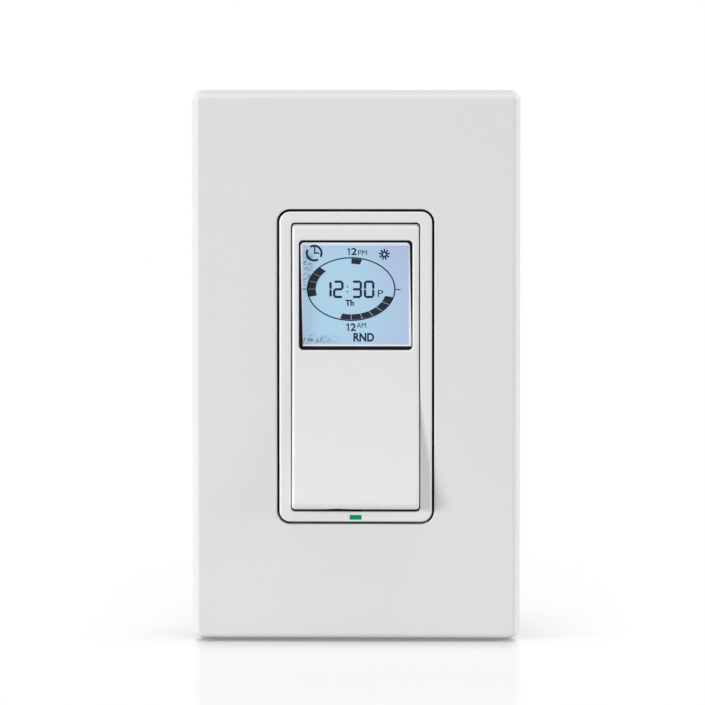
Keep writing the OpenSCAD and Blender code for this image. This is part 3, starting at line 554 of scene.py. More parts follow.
@dataclass(frozen=True)
class DisplayGlass:
    """The lit glass of the display: pale blue, lilac to the right, with a painted highlight along
    its rim.

    Spans are shares of half the glass, counted from its middle.
    """

    middle: float
    half: Point
    blue: Triple = srgb(174, 211, 234)
    lilac: Triple = srgb(180, 192, 225)
    # The rim colour is a painted highlight along the glass's edges.
    rim_highlight: Triple = srgb(236, 237, 247)
    ghost: Triple = srgb(84, 96, 132)
    lilac_lean: float = 0.2
    lilac_span: Point = (0.0, 1.25)
    lilac_share: float = 0.9
    ends_span: Point = (0.6, 1.0)
    ends_share: float = 0.25
    rim_highlight_across: Point = (0.939, 0.969)
    rim_highlight_upward: Point = (0.93, 0.975)
    low_across: Point = (0.2, 0.75)
    low_downward: Point = (0.74, 0.84)
    side_across: Point = (0.72, 0.84)
    side_upward: tuple[Point, Point] = ((0.0, 0.3), (0.7, 0.85))
    side_share: float = 0.8
    speck_size: float = 0.42
    speck_span: Point = (0.5, 0.6)
    speck_share: float = 0.8
    roughness: float = 0.22
    speck_spread: float = 0.2
    gloss: float = 0.3
    dim: float = 0.65
    glow: float = 0.61

    def mix(self, paint: Paint) -> None:
        """Lights the glass.

        Args:
            paint: The material's nodes.
        """
        across = paint.along(Axis.ACROSS) * (1 / self.half[0])
        upward = (paint.along(Axis.UPWARDS) - self.middle) * (1 / self.half[1])
        lilac = (across + upward * self.lilac_lean).between(*self.lilac_span) * self.lilac_share
        lilac = lilac + abs(upward).between(*self.ends_span) * self.ends_share
        sheet = paint.blend(lilac, self.blue, self.lilac)
        inner = 1 - abs(across).between(*self.rim_highlight_across)
        inner = inner * (1 - abs(upward).between(*self.rim_highlight_upward))
        left, down = 0 - across, 0 - upward
        start, stop = self.side_upward
        lower = left.between(*self.low_across) * down.between(*self.low_downward)
        side = left.between(*self.side_across) * upward.between(*start)
        side = side * (1 - upward.between(*stop))
        specks = paint.noise(self.speck_size, 1.0).between(*self.speck_span)
        specks = specks * (lower + side * self.side_share) * inner * self.speck_share
        # The glass's edges take the painted rim highlight.
        face = paint.blend(inner, self.rim_highlight, paint.blend(specks, sheet, self.ghost))
        paint.surface(
            Base_Color=paint.blend(self.dim, face, BLACK),
            Roughness=specks * self.speck_spread + self.roughness,
            Specular_IOR_Level=self.gloss,
            Emission_Color=face,
            Emission_Strength=self.glow,
        )


class Finish(Enum):
    """Every finish on the switch."""

    PLATE_WHITE = MouldedPlastic(srgb(220, 220, 220), 0.42, 0.08)
    PAD_WHITE = MouldedPlastic(srgb(223, 223, 223), 0.3)
    COVER_GREY = MouldedPlastic(srgb(206, 206, 204), 0.46)
    KEY_GREY = MouldedPlastic(srgb(176, 179, 183), 0.44)
    ENTER_GREEN = MouldedPlastic(srgb(122, 158, 140), 0.44)
    BLACK_PLASTIC = MouldedPlastic(srgb(14, 14, 16), 0.5, 0.15)
    # Charcoal for the rear housing; on the front cover it is painted shade, which keeps the gap
    # below the pad dark.
    HOUSING_CHARCOAL = MouldedPlastic(srgb(52, 54, 58), 0.5)
    IVORY = MouldedPlastic(srgb(226, 220, 204), 0.45)
    RELAY_BLUE = MouldedPlastic(srgb(58, 98, 164), 0.4)
    FILM_YELLOW = MouldedPlastic(srgb(208, 170, 62), 0.42)
    DARK_SLEEVE = MouldedPlastic(srgb(32, 36, 48), 0.28)
    RESIN_GREEN = MouldedPlastic(srgb(152, 160, 104), 0.4)
    SCREW_WHITE = MouldedPlastic(srgb(222, 222, 219), 0.3)
    MARK_WHITE = MouldedPlastic(srgb(240, 240, 238), 0.5)
    DISPLAY_INK = MouldedPlastic(srgb(33, 36, 51), 0.5, 0.2)
    DISPLAY_FINE_INK = MouldedPlastic(srgb(12, 33, 55), 0.5, 0.2)
    ZINC_PLATE = PlatedMetal(srgb(196, 199, 204), srgb(168, 162, 148), 0.3)
    SWITCH_STEEL = PlatedMetal(srgb(206, 207, 210), srgb(180, 180, 178), 0.26)
    GREEN_DYED_STEEL = PlatedMetal(srgb(60, 132, 74), srgb(36, 92, 52), 0.34)
    BRASS = PlatedMetal(srgb(214, 178, 98), srgb(168, 124, 62), 0.27)
    # Near-black steel on the strap and the hinge pin is painted shade, which keeps the gaps round
    # the frame and the pad dark.
    SHADE_BLACK_STEEL = PlatedMetal(srgb(40, 40, 42), srgb(58, 54, 50), 0.5)
    CONTROL_LAMINATE = LaminateBoard(srgb(30, 92, 52), srgb(64, 132, 78))
    POWER_LAMINATE = LaminateBoard(srgb(176, 138, 86), srgb(150, 108, 62))
    RED_FIBRE = PressedFibre(srgb(132, 66, 44))
    CONTACT_RUBBER = StripedBody(srgb(150, 150, 154), srgb(34, 34, 36), 0.3, Axis.ACROSS, 0.7)
    COPPER_WINDING = StripedBody(srgb(184, 110, 62), srgb(92, 46, 24), 0.5, Axis.INWARDS)
    # Nearer the wall than 7 mm the light pipe is painted almost black, as shade in the gap.
    GREEN_LENS = LitLens(srgb(3, 132, 70), 0.33, -7.0)
    LIGHT_GUIDE = LitLens(srgb(226, 236, 246), 0.2)
    DISPLAY_GLASS = DisplayGlass(15.21, (11.8, 11.05))

    @functools.cache
    def material(self) -> bpy.types.Material:
        """The finish's material, which is mixed once.

        Returns:
            The material.
        """
        paint = Paint(bpy.data.materials.new(self.name.lower()))
        self.value.mix(paint)
        return paint.owner


class Workpiece:
    """One mesh on the bench, shaped with the edit-mode tools."""

    def __init__(self, obj: bpy.types.Object) -> None:
        """Takes an object on to the bench."""
        self.obj = obj

    @classmethod
    def begun(cls, name: str, add: Callable[..., object], **settings: object) -> "Workpiece":
        """Adds a primitive with nothing else selected, and puts its place in its mesh.

        Args:
            name: The piece's name.
            add: The operator that adds the primitive.
            settings: What the operator is given.

        Returns:
            The piece.
        """
        bpy.ops.object.select_all(action="DESELECT")
        add(**settings)
        bpy.ops.object.transform_apply()
        return cls(bpy.context.active_object).named(name)

    @classmethod
    def slab(
        cls,
        name: str,
        size: Point,
        levels: Point,
        corner: float = 0.0,
        middle: Point = (0.0, 0.0),
        edge: float = 0.0,
        draft: float = 0.0,
        facets: int = 8,
    ) -> "Workpiece":
        """Raises a slab with round corners, leaning sides and a round front edge.

        Args:
            name: The piece's name.
            size: Width and height at its foot.
            levels: Its back and front levels.
            corner: Radius of its corners at the foot.
            middle: Where its middle is.
            edge: Radius of its front edge.
            draft: How far each side leans in.
            facets: Steps in each round corner.

        Returns:
            The slab.
        """
        piece = cls.begun(name, bpy.ops.mesh.primitive_plane_add, size=1)
        piece.turned(Matrix.Translation((*middle, levels[0])) @ Matrix.Diagonal((*size, 1, 1)))
        with piece.editing():
            if corner:
                bpy.ops.mesh.bevel(offset=corner, segments=facets, affect="VERTICES")
                bpy.ops.mesh.select_all(action="SELECT")
            piece.raise_face(levels[1] - levels[0], edge, draft)
        return piece

    @classmethod
    def disc(
        cls,
        name: str,
        radius: float,
        levels: Point,
        middle: Point = (0.0, 0.0),
        edge: float = 0.0,
        facets: int = 48,
    ) -> "Workpiece":
        """Raises a round slab with a round front edge.

        Args:
            name: The piece's name.
            radius: Its radius.
            levels: Its back and front levels.
            middle: Where its middle is.
            edge: Radius of its front edge.
            facets: Steps round it.

        Returns:
            The disc.
        """
        piece = cls.begun(name, bpy.ops.mesh.primitive_circle_add, vertices=facets, radius=radius,
                          fill_type="NGON", location=(*middle, levels[0]))
        with piece.editing():
            piece.raise_face(levels[1] - levels[0], edge, 0.0)
        return piece

    @classmethod
    def outline(cls, name: str, points: Sequence[Point], levels: Point) -> "Workpiece":
        """Draws an outline by extruding a point from corner to corner, and raises it.

        Args:
            name: The piece's name.
            points: The outline's corners in turn.
            levels: Its back and front levels.

        Returns:
            The prism over that outline.
        """
        piece = cls.begun(name, bpy.ops.mesh.primitive_plane_add, location=(0, 0, levels[0]))
        with piece.editing(Pick.POINTS):
            bpy.ops.mesh.merge(type="CENTER")
            bpy.ops.mesh.select_all(action="SELECT")
            bpy.ops.transform.translate(value=(*points[0], 0))
            piece.trace(points)
            bpy.ops.mesh.select_all(action="SELECT")
            bpy.ops.mesh.edge_face_add()
            bpy.ops.mesh.select_all(action="SELECT")
            piece.lift((0, 0, levels[1] - levels[0]))
        return piece

    @classmethod
    def thread(
        cls, radius: float, depth: float, pitch: float, levels: Point, facets: int = 24,
        steps: int = 12
    ) -> "Workpiece":
        """Carries an off-centre ring up and round an axis into a round-crested screw thread.

        Args:
            radius: Radius of the crests.
            depth: Depth of the thread.
            pitch: Rise in one turn.
            levels: Its lower and upper ends.
            facets: Sides of the ring.
            steps: Steps in one turn.

        Returns:
            The threaded rod.
        """
        piece = cls.begun("shank", bpy.ops.mesh.primitive_circle_add, vertices=facets,
                          radius=radius - depth / 2, fill_type="NOTHING",
                          location=(depth / 2, 0, levels[0]))
        turns = round((levels[1] - levels[0]) / pitch)
        path = arc((0, 0), depth / 2, 0, 360 * turns, steps * turns)
        with piece.editing(Pick.EDGES):
            piece.trace(path, (levels[1] - levels[0]) / (steps * turns))
            bpy.ops.mesh.select_all(action="SELECT")
            bpy.ops.mesh.fill_holes(sides=0)
        return piece

    @classmethod
    def lettering(cls, words: str, box: Box, levels: Point, weight: float) -> "Workpiece":
        """Sets words to fill a box.

        Args:
            words: What it says.
            box: Left, lower, right and upper bounds.
            levels: Its back and front levels.
            weight: How much the strokes are thickened.

        Returns:
            The words as a mesh.
        """
        bpy.ops.object.select_all(action="DESELECT")
        bpy.ops.object.text_add()
        text = bpy.context.active_object.data
        text.body = words
        text.offset = weight
        text.resolution_u = 4
        text.extrude = 0.5
        bpy.ops.object.convert(target="MESH")
        piece = cls(bpy.context.active_object).named("word")
        low, high = (Vector(piece.obj.bound_box[corner]) for corner in (0, 6))
        size = (box[2] - box[0], box[3] - box[1], levels[1] - levels[0])
        grow = Vector(want / (b - a) for want, a, b in zip(size, low, high))
        move = Vector((box[0], box[1], levels[0])) - low * grow
        piece.turned(Matrix.Translation(move) @ Matrix.Diagonal((*grow, 1)))
        with piece.editing():
            bpy.ops.mesh.remove_doubles(threshold=WELD)
        return piece

    @classmethod
    def from_node(cls, node: str, name: str) -> "Workpiece":
        """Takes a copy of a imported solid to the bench, welded and with its flats joined up.

        Args:
            node: The solid's name.
            name: The new piece's name.

        Returns:
            The copy.
        """
        obj = bpy.data.objects.new(name, bpy.data.objects[node].data.copy())
        bpy.context.scene.collection.objects.link(obj)
        piece = cls(obj).named(name).turned(STAND.inverted())
        with piece.editing():
            bpy.ops.mesh.customdata_custom_splitnormals_clear()
            bpy.ops.mesh.remove_doubles(threshold=WELD)
            bpy.ops.mesh.dissolve_limited(angle_limit=math.radians(0.5))
        return piece

    def named(self, name: str) -> "Workpiece":
        """Names the object and its mesh."""
        self.obj.name = self.obj.data.name = name
        return self

    def grasp(self) -> None:
        """Selects this piece alone and makes it active."""
        bpy.ops.object.select_all(action="DESELECT")
        self.obj.select_set(True)
        bpy.context.view_layer.objects.active = self.obj

    @contextmanager
    def editing(self, pick: Pick = Pick.FACES, everything: bool = True) -> Iterator[None]:
        """Opens the piece in edit mode, and turns its faces outwards at the end.

        Args:
            pick: What is selected there.
            everything: Whether all of it is selected at first, or none of it.

        Returns:
            A context in which the piece is open.
        """
        self.grasp()
        bpy.ops.object.mode_set(mode="EDIT")
        bpy.ops.mesh.select_mode(type=pick.value)
        bpy.ops.mesh.select_all(action="SELECT" if everything else "DESELECT")
        yield
        bpy.ops.mesh.select_all(action="SELECT")
        bpy.ops.mesh.normals_make_consistent(inside=False)
        bpy.ops.mesh.select_all(action="DESELECT")
        bpy.ops.object.mode_set(mode="OBJECT")

    def lift(self, move: Triple) -> None:
        """Extrudes what is selected by a move."""
        bpy.ops.mesh.extrude_region_move(TRANSFORM_OT_translate={"value": move})

    def trace(self, points: Sequence[Point], rise: float = 0.0) -> None:
        """Extrudes what is selected along a path, with a rise at each step."""
        for here, there in zip(points, points[1:]):
            self.lift((there[0] - here[0], there[1] - here[1], rise))

    def raise_face(self, rise: float, edge: float, draft: float, steps: int = 6) -> None:
        """Raises the selected face into a slab.

        Args:
            rise: The slab's whole height.
            edge: Radius of its front edge.
            draft: How far its sides lean in.
            steps: Steps in the round edge.
        """
        land = rise / 100 if draft else 0.0
        self.lift((0, 0, land or rise - edge))
        if draft:
            bpy.ops.mesh.inset(thickness=draft, depth=rise - edge - land)
        if edge:
            for inwards, upwards in round_over(edge, steps):
                bpy.ops.mesh.inset(thickness=inwards, depth=upwards)

    def round_edges(
        self, test: Callable[[Vector], bool], width: float, segments: int = 3, sharp: float = 35.0
    ) -> None:
        """Bevels the sharp edges whose middles pass a test.

        Args:
            test: Says whether an edge with this middle is meant.
            width: Width of the bevel.
            segments: Steps in it.
            sharp: Smallest angle between an edge's faces, in degrees.
        """
        with self.editing(Pick.EDGES, everything=False):
            mesh = bmesh.from_edit_mesh(self.obj.data)
            for line in mesh.edges:
                ends = line.verts
                if line.calc_face_angle(0.0) > math.radians(sharp):
                    line.select_set(test((ends[0].co + ends[1].co) / 2))
            bmesh.update_edit_mesh(self.obj.data)
            bpy.ops.mesh.bevel(offset=width, segments=segments, affect="EDGES")

    def round_rim(
        self, level: float, size: Point, middle: float, width: float, segments: int = 3
    ) -> None:
        """Bevels the rim of an opening in a level face.

        Args:
            level: The face's level.
            size: The opening's width and height.
            middle: How high its middle is.
            width: Width of the bevel.
            segments: Steps in it.
        """
        half = [side / 2 + NEAR for side in size]
        self.round_edges(
            lambda p: abs(p.z - level) < NEAR and abs(p.x) < half[0]
            and abs(p.y - middle) < half[1], width, segments)

    def apply(self, modifier: bpy.types.Modifier) -> None:
        """Applies one modifier."""
        self.grasp()
        bpy.ops.object.modifier_apply(modifier=modifier.name)

    def fitted(self, how: Fit, *others: "Workpiece") -> "Workpiece":
        """Cuts other pieces away from this one, or fuses them to it, and uses them up.

        Args:
            how: Cut or fuse.
            others: The other pieces, in turn.

        Returns:
            This piece.
        """
        for other in others:
            tool = self.obj.modifiers.new("fit", "BOOLEAN")
            tool.operation = how.value
            tool.solver = "EXACT"
            tool.object = other.obj
            self.apply(tool)
            bpy.data.meshes.remove(other.obj.data)
        with self.editing():
            bpy.ops.mesh.remove_doubles(threshold=WELD)
            bpy.ops.mesh.dissolve_degenerate(threshold=WELD)
        return self

    def turned(self, matrix: Matrix) -> "Workpiece":
        """Moves, turns or sizes the piece, with the result in its mesh.

        Args:
            matrix: Where it goes from here.

        Returns:
            This piece.
        """
        self.grasp()
        self.obj.matrix_world = matrix
        bpy.ops.object.transform_apply()
        return self

    def copied(self, name: str, matrix: Matrix) -> "Workpiece":
        """A copy with its own mesh, placed by a matrix.

        Args:
            name: The copy's name.
            matrix: Where it goes from here.

        Returns:
            The copy.
        """
        self.grasp()
        bpy.ops.object.duplicate()
        piece = Workpiece(bpy.context.active_object).named(name).turned(matrix)
        if matrix.is_negative:
            with piece.editing():
                bpy.ops.mesh.normals_make_consistent(inside=False)
        return piece

    def joined(self, *others: "Workpiece") -> "Workpiece":
        """Takes other pieces that lie apart into this object.

        Args:
            others: The other pieces.

        Returns:
            This piece.
        """
        self.grasp()
        for other in others:
            other.obj.select_set(True)
        bpy.ops.object.join()
        return self

    def softened(self, width: float, segments: int = 2, angle: float = 40.0) -> "Workpiece":
        """Breaks every sharp edge a little.

        Args:
            width: Width of the bevel.
            segments: Steps in it.
            angle: Smallest angle between an edge's faces, in degrees.

        Returns:
            This piece.
        """
        edges = self.obj.modifiers.new("edges", "BEVEL")
        edges.width = width
        edges.segments = segments
        edges.limit_method = "ANGLE"
        edges.angle_limit = math.radians(angle)
        self.apply(edges)
        return self

    def seated(
        self, body: Body, finish: Finish, slot: Slot, *nodes: str, smooth: float = 32.0
    ) -> None:
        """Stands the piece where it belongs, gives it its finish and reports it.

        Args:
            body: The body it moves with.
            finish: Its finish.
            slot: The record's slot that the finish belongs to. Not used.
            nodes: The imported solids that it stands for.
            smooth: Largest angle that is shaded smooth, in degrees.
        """
        self.turned(STAND)
        bpy.ops.object.shade_smooth_by_angle(angle=math.radians(smooth))
        even = self.obj.modifiers.new("even", "WEIGHTED_NORMAL")
        even.keep_sharp = True
        even.weight = 100
        self.apply(even)
        self.obj.data.materials.clear()
        self.obj.data.materials.append(finish.material())
        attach(self.obj, body.value)
        LOG.info("%s on %s, %d faces", self.obj.name, body.value, len(self.obj.data.polygons))
        if nodes:
            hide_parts(*nodes)
            LOG.info("  %.3f mm off %s", self.departure(nodes) / MM, ", ".join(nodes))

    def departure(self, nodes: Sequence[str]) -> float:
        """How far the piece's box departs from that of its solids.

        Args:
            nodes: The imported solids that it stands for.

        Returns:
            The largest difference on any side, in metres.
        """
        boxes = [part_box(node) for node in nodes]
        points = [vertex.co for vertex in self.obj.data.vertices]
        apart = []
        for i in range(3):
            apart.append(min(p[i] for p in points) - min(low[i] for low, _ in boxes))
            apart.append(max(p[i] for p in points) - max(high[i] for _, high in boxes))
        return max(abs(gap) for gap in apart)


@dataclass
class WallPlate:
    """The snap-on wall plate with its opening."""

    size: Point = (69.8, 117.0)
    depth: float = 7.7
    wall: float = 1.8
    side_wall: float = 2.6
    draft: float = 0.8
    edge: float = 1.1
    face_corner: float = 0.4
    opening: Point = (33.3, 66.8)
    opening_corner: float = 2.8
    lip: float = 1.4
    lip_back: float = 3.3
    rim_round: float = 0.3
    rib_levels: Point = (0.2, 1.3)
    rib_reach: float = 0.7
    rib_length: float = 14.0
    rib_y: float = 35.0

    def build(self) -> None:
        """Moulds the plate."""
        foot = self.face_corner + self.draft + self.edge
        inside = tuple(side - 2 * self.side_wall for side in self.size)
        lip = tuple(side + 2 * self.lip for side in self.opening)
        back = self.depth - self.wall
        plate = Workpiece.slab("wall_plate_shell", self.size, (0, self.depth), foot,
                               edge=self.edge, draft=self.draft, facets=10)
        plate.fitted(Fit.CUT, Workpiece.slab("hollow", inside, (-CLEAR, back),
                                             self.face_corner + self.edge))
        plate.fitted(Fit.FUSE, Workpiece.slab("lip", lip, (self.lip_back, back + LAP),
                                              self.opening_corner + self.lip, facets=12))
        plate.fitted(Fit.FUSE, *self.ribs(inside[0] / 2))
        plate.fitted(Fit.CUT, Workpiece.slab("opening", self.opening, (-CLEAR, self.depth + CLEAR),
                                             self.opening_corner, facets=12))
        plate.round_rim(self.depth, self.opening, 0, self.rim_round)
        plate.seated(Body.ROOT, Finish.PLATE_WHITE, Slot.WHITE_PLASTIC, "wall_plate")

    def ribs(self, wall: float) -> list[Workpiece]:
        """The four snap ribs inside the long walls.

        Args:
            wall: Where the inside of the right wall is.

        Returns:
            The ribs.
        """
        low, high = self.rib_levels
        side = [(-wall - LAP, low), (-wall, low), (-wall + self.rib_reach, high),
                (-wall - LAP, high)]
        rib = Workpiece.outline("rib", side, (-self.rib_length / 2, self.rib_length / 2))
        rib.turned(Matrix.Rotation(math.radians(90), 4, "X"))
        moves = [Matrix.Diagonal((x, 1, 1, 1)) @ Matrix.Translation((0, y * self.rib_y, 0))
                 for x in (1, -1) for y in (1, -1)]
        ribs = [rib.copied("rib_copy", move) for move in moves]
        bpy.data.meshes.remove(rib.obj.data)
        return ribs


@dataclass
class BezelFrame:
    """The frame round the pad, with the slot for the light pipe."""

    size: Point = (32.3, 65.8)
    corner: float = 2.3
    levels: Point = (1.8, 8.0)
    border_back: float = 6.3
    skirt: float = 1.1
    skirt_corner: float = 1.2
    edge: float = 0.5
    well: Point = (27.34, 61.28)
    well_y: float = -0.06
    well_corner: float = 0.8
    rim_round: float = 0.22
    pin: Triple = (29.1, 7.05, 0.52)
    pin_reach: float = 30.64
    catch: Triple = (18.0, 8.3, 1.3)
    catch_level: float = 3.55
    pipe_slot: Triple = (-31.92, 2.53, 1.0)
    undercut: float = 0.3
    undercut_gap: float = 0.1

    def build(self) -> None:
        """Moulds the frame."""
        back, face = self.levels
        through = (back - CLEAR, face + CLEAR)
        inside = tuple(side - 2 * self.skirt for side in self.size)
        pin_y, pin_z, pin_r = self.pin
        pipe_y, *pipe = self.pipe_slot
        frame = Workpiece.slab("bezel_frame_moulding", self.size, self.levels, self.corner,
                               edge=self.edge, facets=10)
        rod = Workpiece.disc("pin_way", pin_r, (-self.pin_reach / 2, self.pin_reach / 2), facets=24)
        rod.turned(Matrix.Translation((0, pin_y, pin_z)) @ LENGTHWAYS)
        frame.fitted(
            Fit.CUT,
            Workpiece.slab("well", self.well, through, self.well_corner, (0, self.well_y),
                           facets=6),
            Workpiece.slab("skirt", inside, (back - CLEAR, self.border_back), self.skirt_corner),
            Workpiece.slab("pin_slot", (self.pin_reach, 2 * pin_r),
                           (self.border_back - CLEAR, pin_z), middle=(0, pin_y)),
            rod,
            Workpiece.slab("pipe_slot", pipe, through, middle=(0, pipe_y)),
        )
        frame.fitted(Fit.CUT, self.lower_undercut())
        catch_y, *catch = self.catch
        levels = (self.catch_level - catch[1] / 2, self.catch_level + catch[1] / 2)
        for y in (catch_y, -catch_y):
            frame.fitted(Fit.CUT, Workpiece.slab("catch_window", (self.size[0] + CLEAR, catch[0]),
                                                 levels, middle=(0, y)))
        frame.round_rim(face, self.well, self.well_y, self.rim_round)
        frame.seated(Body.ROOT, Finish.PAD_WHITE, Slot.WHITE_PLASTIC, "bezel_frame")

    def lower_undercut(self) -> Workpiece:
        """The undercut below the pad's foot.

        Returns:
            The cutting shape.
        """
        low = self.well_y - self.well[1] / 2
        bottom = self.border_back - self.undercut_gap
        top = self.levels[1] - self.rim_round - self.undercut_gap
        reach = self.well[0] / 2 - self.well_corner
        sill = [(low + CLEAR, bottom), (low - self.undercut, bottom), (low, top),
                (low + CLEAR, top)]
        return Workpiece.outline("undercut", sill, (-reach, reach)).turned(LENGTHWAYS)


@dataclass
class PushPad:
    """The push pad: one moulding with the window, a swept face, a hinge bead and a nail notch."""

    width: float = 26.92
    top: float = 30.25
    foot: float = 30.05
    face: float = 8.2
    wall: float = 1.4
    side: float = 1.1
    skirt_level: float = 6.579
    bead: Triple = (29.1, 7.05, 1.15)
    bead_wall: float = 0.2
    bore: float = 0.55
    sweep_y: float = 2.97
    sweep: float = 3.4
    edge: float = 1.4
    side_round: float = 0.7
    window: Point = (24.08, 23.27)
    window_y: float = 15.205
    window_corner: float = 0.9
    window_round: float = 0.35
    rib: Triple = (6.0, 1.0, 7.6)
    post: Triple = (-24.2, 1.5, 6.3)
    post_top: float = 9.2
    notch: Triple = (-3.6, 6.0, 0.22)

    @property
    def sweep_radius(self) -> float:
        """Radius of the swept face."""
        run = self.sweep_y + self.top
        return (run**2 + self.sweep**2) / (2 * self.sweep)

    def side_outline(self) -> tuple[list[Point], float]:
        """The pad's outline seen from its side.

        Returns:
            Its corners as heights and levels, and the level of the lower edge's centre.
        """
        radius = self.sweep_radius
        centre = self.face + radius
        edge_y = self.edge - self.foot
        edge_z = centre - math.sqrt((radius + self.edge) ** 2 - (self.sweep_y - edge_y) ** 2)
        turn = math.degrees(math.atan2(centre - edge_z, self.sweep_y - edge_y))
        *bead, bead_r = self.bead
        points = [(-self.foot, self.skirt_level)]
        points += arc(bead, bead_r, -90, 90, 20)
        points += arc((self.sweep_y, centre), radius, 270, turn + 180, 40)
        points += arc((edge_y, edge_z), self.edge, turn, 180, 8)[1:]
        return points, edge_z

    def hollow(self) -> Workpiece:
        """The hollow behind the face, with room left for the two ribs.

        Returns:
            The cutting shape.
        """
        radius = self.sweep_radius
        reach = radius + self.wall
        low = self.side - self.foot
        high = self.bead[0] - self.bead[2] - self.bead_wall
        stop = 270 - math.degrees(math.asin((self.sweep_y - low) / reach))
        points = [(low, 0), (high, 0), (high, self.face - self.wall)]
        points += arc((self.sweep_y, self.face + radius), reach, 270, stop, 24)
        half = self.width / 2 - self.side
        cutter = Workpiece.outline("pad_hollow", points, (-half, half)).turned(LENGTHWAYS)
        rib_x, rib_t, rib_z = self.rib
        for x in (-rib_x, rib_x):
            cutter.fitted(Fit.CUT, Workpiece.slab("rib", (rib_t, 2 * self.top),
                                                  (rib_z, 2 * self.face), middle=(x, 0)))
        return cutter

    def nail_notch(self, level: float) -> Workpiece:
        """The ball that hollows the notch out of the lower edge.

        Args:
            level: The level of the lower edge's centre.

        Returns:
            The cutting shape.
        """
        x, wide, deep = self.notch
        ball = (wide**2 / 4 + deep**2) / (2 * deep)
        middle = (x, deep - self.foot - ball, level)
        return Workpiece.begun("nail_notch", bpy.ops.mesh.primitive_uv_sphere_add, segments=64,
                               ring_count=32, radius=ball, location=middle)

    def build(self) -> None:
        """Moulds the pad."""
        points, edge_z = self.side_outline()
        half = self.width / 2
        pad = Workpiece.outline("push_pad_moulding", points, (-half, half)).turned(LENGTHWAYS)
        pad.round_edges(lambda p: abs(p.x) > half - NEAR, self.side_round, 5)
        notch = self.nail_notch(edge_z)
        bore = Workpiece.disc("bore", self.bore, (-half - CLEAR, half + CLEAR), facets=24)
        bore.turned(Matrix.Translation((0, *self.bead[:2])) @ LENGTHWAYS)
        window = Workpiece.slab("window", self.window, (0, self.face + CLEAR), self.window_corner,
                                (0, self.window_y))
        pad.fitted(Fit.CUT, self.hollow(), window, bore, notch)
        post_y, post_r, post_z = self.post
        pad.fitted(Fit.FUSE, Workpiece.disc("post", post_r, (post_z, self.post_top), (0, post_y)))
        pad.round_rim(self.face, self.window, self.window_y, self.window_round, 4)
        pad.seated(Body.PAD, Finish.PAD_WHITE, Slot.WHITE_PLASTIC, "push_pad")


@dataclass
class Display:
    """The display's glass in its black holder."""

    middle: float = 15.11
    glass: Point = (23.6, 22.1)
    glass_y: float = 15.21
    glass_levels: Point = (4.1, 6.0)
    glass_corner: float = 0.2
    glass_edge: float = 0.1
    holder: Point = (24.0, 24.08)
    holder_levels: Point = (1.6, 6.2)
    holder_corner: float = 0.5
    holder_edge: float = 0.12
    seat_gap: float = 0.1
    seat_top: float = 6.03
    sight_foot: tuple[Point, Point] = ((-11.22, -10.8), (11.83, -10.8))
    sight_head: tuple[Point, Point] = ((10.62, 10.39), (-10.91, 10.39))
    sight_corner: float = 0.8
    sight_top: float = 9.0

    def build(self) -> None:
        """Makes the holder and the glass."""
        holder = Workpiece.slab("display_holder", self.holder, self.holder_levels,
                                self.holder_corner, (0, self.middle), self.holder_edge)
        right, left = self.sight_head
        sight = [*self.sight_foot, *arc(right, self.sight_corner, 0, 90, 6),
                 *arc(left, self.sight_corner, 90, 180, 6)]
        opening = Workpiece.outline("sight_opening", sight, (0, self.sight_top))
        seat = tuple(side + self.seat_gap for side in self.glass)
        holder.fitted(
            Fit.CUT,
            Workpiece.slab("glass_seat", seat, (0, self.seat_top), middle=(0, self.glass_y)),
            opening.turned(Matrix.Translation((0, self.middle, 0))),
        )
        holder.seated(Body.ROOT, Finish.BLACK_PLASTIC, Slot.DARK_PLASTIC, "lcd_frame")
        glass = Workpiece.slab("display_glass_panel", self.glass, self.glass_levels,
                               self.glass_corner, (0, self.glass_y), self.glass_edge)
        glass.seated(Body.ROOT, Finish.DISPLAY_GLASS, Slot.DISPLAY_GLASS, "lcd_panel")


